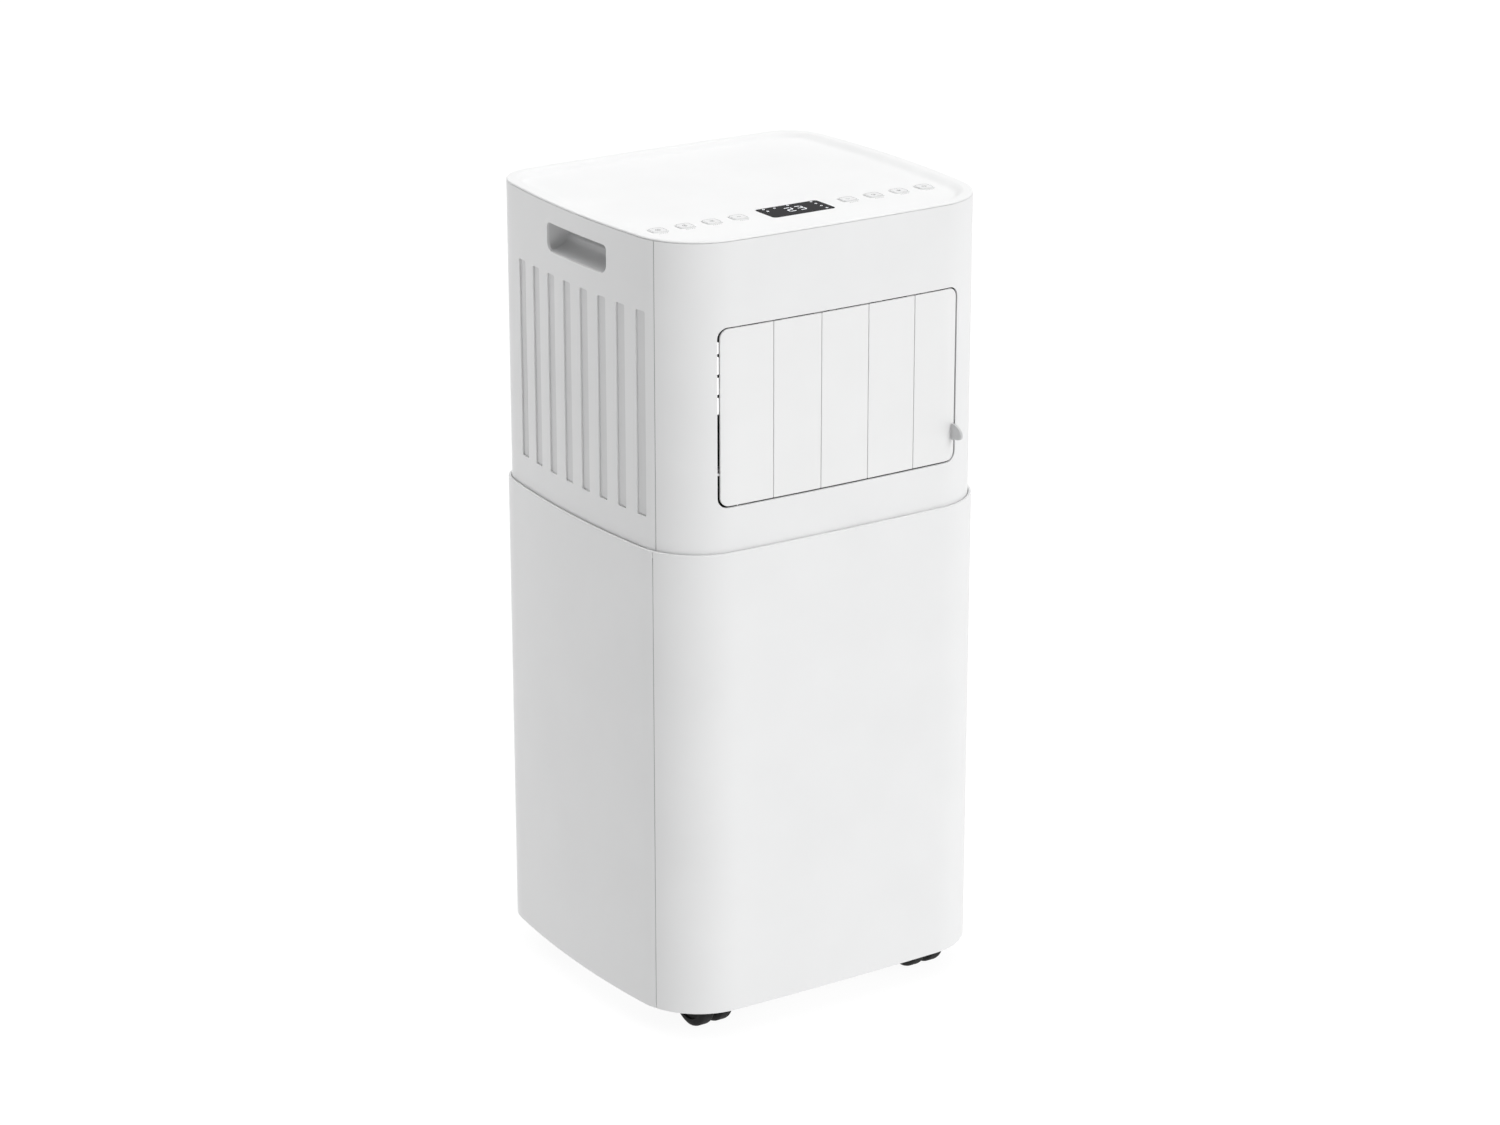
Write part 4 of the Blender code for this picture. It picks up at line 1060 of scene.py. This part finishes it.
def finger_tab():
    """The tab on the last blade: a quarter ellipse above and a slope below, with soft edges."""
    low, high = span_of("louvre_tab")
    reach = high.y - low.y
    level = low.z + TAB_NOSE
    outline = [(high.y, low.z + 0.6)]
    outline += [(low.y + 5.0, low.z + 2.4), (low.y + 2.0, low.z + 3.3), (low.y + 0.5, low.z + 4.6)]
    for i in range(21):
        angle = math.pi / 2 * i / 20
        rise = (high.z - level) * math.sin(angle)
        outline.append((high.y - reach * math.cos(angle), level + rise))
    tab = prism("finger_tab", outline, "X", low.x + TAB_SHIFT, high.x + TAB_SHIFT, TAB)
    dress(tab, "louvre_5", "grey_tab", "louvre_tab", edge=0.6)


def gap_strip():
    """A glowing strip beside the first blade, painted light that makes that gap read white, broken
    by three small square windows.
    """
    low, high = GAP_STRIP_Z[0], GAP_STRIP_Z[-1]
    left, right = OUTLET[0][0] - 0.3, OUTLET[0][0] + 1.5
    face = front_y(left) + 0.35
    strips = []
    for below, above in zip(GAP_STRIP_Z, GAP_STRIP_Z[1:]):
        foot = below + (GAP_SQUARE if below > low else 0.0)
        head = above - (GAP_SQUARE if above < high else 0.0)
        strips.append(box("strip", (left, face, foot), (right, face + 1.6, head)))
    dress(merged("gap_strips", strips, GLOWING_STRIP), "housing", "white_louvre", edge=0.1)


# -------- back


def filter_door():
    """The slotted door, its grip and the net behind it, which pull off together."""
    low, high = span_of("filter_door")
    face = high.y - 6
    outline = rectangle((low.x, low.z), (high.x, high.z), 6.0)
    door = prism("door", outline, "Y", low.y, face, SHELL)
    openings = []
    half = DOOR_SLOT_WIDTH / 2
    for i in range(DOOR_SLOTS):
        x = (i - (DOOR_SLOTS - 1) / 2) * DOOR_SLOT_PITCH
        opening = rectangle((x - half, low.z + 12), (x + half, high.z - 22), half - 0.1, 10)
        openings.append(prism("slot", opening, "Y", low.y - 5, face + 5))
    grip = rectangle((-18.0, high.z - 13), (18.0, high.z - 8), 2.4)
    cut(door, *openings)
    join(door, prism("grip", grip, "Y", face - 1, high.y))
    dress(door, "filter_door", "white_shell", "filter_door", edge=0.5)
    near, far = span_of("filter_mesh")
    border = rectangle((near.x, near.z), (far.x, far.z), 4.0)
    net = prism("door_net", border, "Y", near.y, far.y, NET)
    inside = rectangle((near.x + 5, near.z + 5), (far.x - 5, far.z - 5), 3.0)
    cut(net, prism("inside", inside, "Y", near.y - 5, far.y + 5))
    middle = (near.y + far.y) / 2
    half = NET_THREAD / 2
    threads = []
    for i in range(1, NET_COLUMNS):
        x = near.x + (far.x - near.x) * i / NET_COLUMNS
        start, end = (x - half, middle, near.z + 2), (x + half, middle + 0.45, far.z - 2)
        threads.append(box("thread", start, end))
    for i in range(1, NET_ROWS):
        z = near.z + (far.z - near.z) * i / NET_ROWS
        start, end = (near.x + 2, middle - 0.5, z - half), (far.x - 2, middle - 0.05, z + half)
        threads.append(box("thread", start, end))
    dress(net, "filter_door", "filter_net", "filter_mesh", edge=0.3)
    dress(merged("door_net_threads", threads, NET), "filter_door", "filter_net")


def rear_grille():
    """The condenser's air intake: rounded slats between two uprights."""
    low, high = span_of("rear_grille")
    outline = rectangle((low.x, low.z), (high.x, high.z), 6.0)
    grille = prism("grille", outline, "Y", low.y, high.y, SHELL)
    pitch = (high.z - low.z - 12) / GRILLE_ROWS
    half = GRILLE_SLOT / 2
    openings = []
    for i in range(GRILLE_ROWS):
        z = low.z + 6 + (i + 0.5) * pitch
        for near, far in ((low.x + 8, -3.0), (3.0, high.x - 8)):
            opening = rectangle((near, z - half), (far, z + half), half - 0.1, 8)
            openings.append(prism("slot", opening, "Y", low.y - 5, high.y + 5))
    cut(grille, *openings)
    dress_shell(grille, "rear_grille", edge=0.45)


def hose_socket():
    """The exhaust collar: a lipped ring with a seat and a row of ribs inside it."""
    low, high = span_of("exhaust_collar")
    centre = (middle_of("exhaust_collar").x, middle_of("exhaust_collar").z)
    flange = HALF_DEPTH + STEP + 0.5
    profile = [
        (low.y, COLLAR_BORE),
        (low.y, COLLAR_RADIUS),
        (flange, COLLAR_RADIUS),
        (flange, COLLAR_FLANGE - 0.8),
        (flange + 0.8, COLLAR_FLANGE),
        (flange + 2.2, COLLAR_FLANGE),
        (flange + 3.0, COLLAR_FLANGE - 0.8),
        (flange + 3.0, COLLAR_RADIUS + 1.0),
        (flange + 3.6, COLLAR_RADIUS + 0.2),
        (high.y - 0.8, COLLAR_RADIUS),
        (high.y, COLLAR_RADIUS - 0.8),
        (high.y, COLLAR_BORE + 0.8),
        (high.y - 0.8, COLLAR_BORE),
    ]
    socket = turned("hose_socket", profile, "Y", centre, SHELL, 112, closed=True)
    reach = COLLAR_BORE - 0.3
    ribs = []
    for i in range(COLLAR_RIBS):
        angle = 2 * math.pi * i / COLLAR_RIBS
        x, z = centre[0] + reach * math.cos(angle), centre[1] + reach * math.sin(angle)
        ribs.append(prism("rib", circle((x, z), 1.3, 12), "Y", low.y + 2, high.y - 4))
    join(socket, merged("ribs", ribs))
    dress_shell(socket, "exhaust_collar", edge=0.0)


def gland_and_caps():
    low, high = span_of("cord_gland")
    centre = (middle_of("cord_gland").x, middle_of("cord_gland").z)
    seat = high.y - 6.5
    profile = [
        (low.y, 3.8), (low.y, 7.5), (seat, 7.5), (seat, 10.0), (seat + 0.6, 10.5),
        (seat + 1.8, 10.5), (seat + 2.4, 9.9), (seat + 2.5, 6.9), (seat + 3.2, 6.3),
        (seat + 6.1, 5.7), (high.y, 5.2), (high.y, 3.8),
    ]
    gland = turned("lead_gland", profile, "Y", centre, RUBBER, 48, closed=True)
    dress(gland, "housing", "rubber_cap", "cord_gland")
    for label in ("upper", "lower"):
        name = f"drain_cap_{label}"
        low, high = span_of(name)
        x, z = drain_place(name)
        seat = high.y - 3.6
        profile = [
            (low.y, 6.4), (low.y + 0.5, 6.9), (low.y + 2, 8.0), (seat - 1.2, 8.0),
            (seat - 0.9, 7.5), (seat, 7.5), (seat, 11.0), (seat + 0.5, 11.5),
            (seat + 2.4, 11.5), (seat + 3.2, 10.9), (seat + 3.6, 10.0), (seat + 3.6, 7.2),
            (seat + 2.6, 6.6), (seat + 2.6, 2.0),
        ]
        cap = turned(f"drain_plug_{label}", profile, "Y", (x, z), RUBBER, 56)
        outline = rectangle((x - 6.9, z - 1.1), (x + 6.9, z + 1.1), 1.0)
        join(cap, prism("bar", outline, "Y", seat + 2, high.y))
        dress(cap, name, "rubber_cap", name)


def screws():
    """Cross-head screws that hold the back panels."""
    heads = []
    for x, z in [(side * SCREW_X, z) for z in SCREW_Z for side in (-1, 1)]:
        seat = back_y(x) + (STEP if z < WAIST else 0.0) - 0.3
        profile = [(seat - 1.5, SCREW_RADIUS), (seat + 0.7, SCREW_RADIUS)]
        profile += [(seat + 1.2, SCREW_RADIUS - 0.5), (seat + 1.45, SCREW_RADIUS / 2)]
        head = turned("head", profile, "Y", (x, z), None, 28)
        for u, v in ((1.9, 0.35), (0.35, 1.9)):
            cut(head, box("bar", (x - u, seat + 0.4, z - v), (x + u, seat + 3, z + v)))
        heads.append(head)
    dress(merged("back_screws", heads, SCREW), "housing", "motor_steel")


# -------- below


def caster_labels():
    return [f"{end}_{hand}" for end in ("front", "rear") for hand in ("left", "right")]


def base_pan():
    """The floor of the housing, with a round well over each caster and ribs between them."""
    low = low_of("base_pan").z
    rim_top = low + 12
    inner = PAN_EDGE + 2
    section = [(inner, low + 3), (inner, rim_top), (PAN_EDGE, rim_top), (PAN_EDGE, low)]
    rings = [[(*point, z) for point in whole_outline(inset)] for inset, z in section]
    pan = loft("pan", rings, PAN)
    wells = []
    rooms = []
    top = high_of("base_pan").z - 3
    for label in caster_labels():
        stem = middle_of(f"caster_fork_{label}").x, frame_axis(f"caster_{label}_swivel").y
        wells.append(turned("well", [(low, WELL_RADIUS), (top + 3, WELL_RADIUS)], "Z", stem))
        reach = WELL_RADIUS - WELL_WALL
        room = [(low - 7, reach), (top - 2, reach), (top, reach - 2)]
        room += [(top, STEM_HOLE), (top + 8, STEM_HOLE)]
        rooms.append(turned("room", room, "Z", stem))
    join(pan, *wells)
    cut(pan, *rooms)
    join(pan, *[box("rib", (x - 1, -118, low - 2.5), (x + 1, 118, low + 1)) for x in RIB_X])
    dress(pan, "housing", "duct_plastic", "base_pan")


def frame_axis(joint_name):
    """A point on a joint's axis, in millimetres."""
    joint = next(j for j in frame["joints"] if j["name"] == joint_name)
    return Vector(joint["pos_m"]) / MM


def casters():
    for label in caster_labels():
        wheel_name = f"caster_wheels_{label}"
        fork_name = f"caster_fork_{label}"
        low, high = span_of(wheel_name)
        middle = (low + high) / 2
        radius = (high.z - low.z) / 2
        outside = (high.x - low.x) / 2
        inside = outside - WHEEL_WIDTH
        side = [
            (0.0, 3.0), (inside, 3.0), (inside, radius - 4.0), (inside + 0.4, radius - 1.6),
            (inside + 1.4, radius - 0.3), (inside + 2.6, radius), (outside - 3.2, radius),
            (outside - 1.6, radius - 0.5), (outside - 0.4, radius - 2.0), (outside, radius - 4.0),
            (outside, radius - 6.5), (outside - 1.6, radius - 7.2), (outside - 2.0, 9.0),
            (outside - 0.8, 8.2), (outside - 0.6, 5.0), (outside - 0.2, 3.4), (outside - 0.2, 1.0),
        ]
        profile = [(middle.x - u, r) for u, r in reversed(side[1:])]
        profile += [(middle.x + u, r) for u, r in side[1:]]
        pair = turned(f"wheel_pair_{label}", profile, "X", (middle.y, middle.z), TREAD, 72)
        dress(pair, f"wheels_{label}", "black_caster", wheel_name)
        caster_body(label, fork_name, middle, radius)


def caster_body(label, name, middle, radius):
    """The swivelling body: a web between the wheels, a curved hood over them and a stem."""
    stem = frame_axis(f"caster_{label}_swivel")
    low, high = span_of(name)
    hood_low = 2 * radius + HOOD_GAP
    axle_y, axle_z = middle.y, middle.z
    web = [(axle_y - 9, radius), (axle_y - 8, radius - 4)]
    web += bow((axle_y, axle_z + 2), 8.0, 200, 340, 10)
    web += [(axle_y + 11, radius), (stem.y + 12, hood_low + 1), (axle_y - 20, hood_low + 1)]
    x = middle.x
    outline = rectangle((low.x, axle_y - 21), (high.x, stem.y + 13), 7.0, 10)
    body = prism(f"caster_body_{label}", outline, "Z", hood_low, hood_low + HOOD_THICK, NYLON)
    rounded(body, 1.6, 4)
    top = high.z
    post = [(hood_low + 3, 8.0), (top - 6.4, 8.0), (top - 6, 7.4), (top - 6, 5.8), (top, 5.8)]
    join(
        body,
        prism("web", web, "X", x - WEB_HALF, x + WEB_HALF),
        turned("post", post, "Z", (stem.x, stem.y), None, 40),
    )
    cut(body, turned("bore", [(x - 8, 3.3), (x + 8, 3.3)], "X", (axle_y, axle_z), None, 32))
    dress(body, f"caster_{label}", "black_caster", name, edge=0.3)


# -------- the studio

AZIMUTH = -33.226
ELEVATION = 19.337
DISTANCE = 3.5206
TARGET = (0.0, 0.0, 0.355)
RIGHTWARD = 0.0070
UPWARD = 0.0066
LENS = 98.12
SENSOR = 36.0
FLOOR_SIZE = 60.0
LAMPS = (
    ("front_lamp", 1.0, (0.18, -0.83, 0.53), 24.0),
    ("rear_lamp", 0.7, (-0.10, 0.81, 0.57), 30.0),
    ("top_lamp", 1.5, (0.0, 0.0, 1.0), 80.0),
)
SKY_AXIS = (0.93, 0.37, 0.0)
SKY_LEVELS = (0.0, 0.44, -0.75, -0.1)


def camera():
    azimuth, elevation = math.radians(AZIMUTH), math.radians(ELEVATION)
    right = Vector((math.cos(azimuth), math.sin(azimuth), 0))
    back = Vector((
        math.sin(azimuth) * math.cos(elevation),
        -math.cos(azimuth) * math.cos(elevation),
        math.sin(elevation),
    ))
    up = back.cross(right)
    data = bpy.data.cameras.new("camera")
    data.lens = LENS
    data.sensor_width = SENSOR
    data.clip_end = 200.0
    obj = placed("camera", data)
    obj.location = Vector(TARGET) + back * DISTANCE + right * RIGHTWARD + up * UPWARD
    obj.rotation_euler = (math.pi / 2 - elevation, 0, azimuth)
    bpy.context.scene.camera = obj


def sun(name, strength, towards, softness):
    data = bpy.data.lights.new(name, "SUN")
    data.energy = strength
    data.angle = math.radians(softness)
    turn = Vector(towards).to_track_quat("Z", "Y")
    placed(name, data).rotation_euler = turn.to_euler()


def sky():
    """A plain studio dome, brighter towards the front, the right and above."""
    world = bpy.data.worlds.new("studio")
    bpy.context.scene.world = world
    world.use_nodes = True
    tree = world.node_tree
    way = node(tree, "ShaderNodeTexCoord")
    dot = node(tree, "ShaderNodeVectorMath", operation="DOT_PRODUCT")
    dot.inputs[1].default_value = SKY_AXIS
    tree.links.new(way.outputs["Generated"], dot.inputs[0])
    level = ranged(tree, dot.outputs["Value"], *SKY_LEVELS)
    tree.links.new(level, tree.nodes["Background"].inputs["Strength"])
    tree.nodes["Background"].inputs["Color"].default_value = (1.0, 1.0, 1.0, 1.0)


def floor():
    half = FLOOR_SIZE / 2 / MM
    corners = [(x, y, 0) for x, y in rectangle((-half, -half), (half, half))]
    solid("studio_floor", corners, [(0, 1, 2, 3)], FLOOR)


def studio():
    camera()
    floor()
    sky()
    for lamp in LAMPS:
        sun(*lamp)
    bpy.context.scene.view_settings.view_transform = "Standard"


# -------- assembly

studio()
lower_shells()
upper_shells()
seam_strips()
lid()
handle_pockets()
intake_screens()
display()
keys()
blades()
finger_tab()
gap_strip()
filter_door()
rear_grille()
hose_socket()
gland_and_caps()
screws()
base_pan()
casters()

# painted shade: the outlet frame is near black so the gaps round the blades read dark
repaint(GAP_SHADE, "outlet_frame")
repaint(DUCT, "blower_housing", "blower_wheel", "exhaust_fan_housing", "exhaust_fan_wheel")
repaint(DUCT, "mid_deck")
repaint(LOUVRE, "louvre_link")
repaint(FINS, "evaporator_coil", "condenser_coil")
repaint(COPPER, "suction_pipe", "discharge_pipe", "liquid_pipe")
repaint(STEEL, "blower_motor", "exhaust_fan_motor")
repaint(PAINT, "compressor")
repaint(BOARD, "control_board")
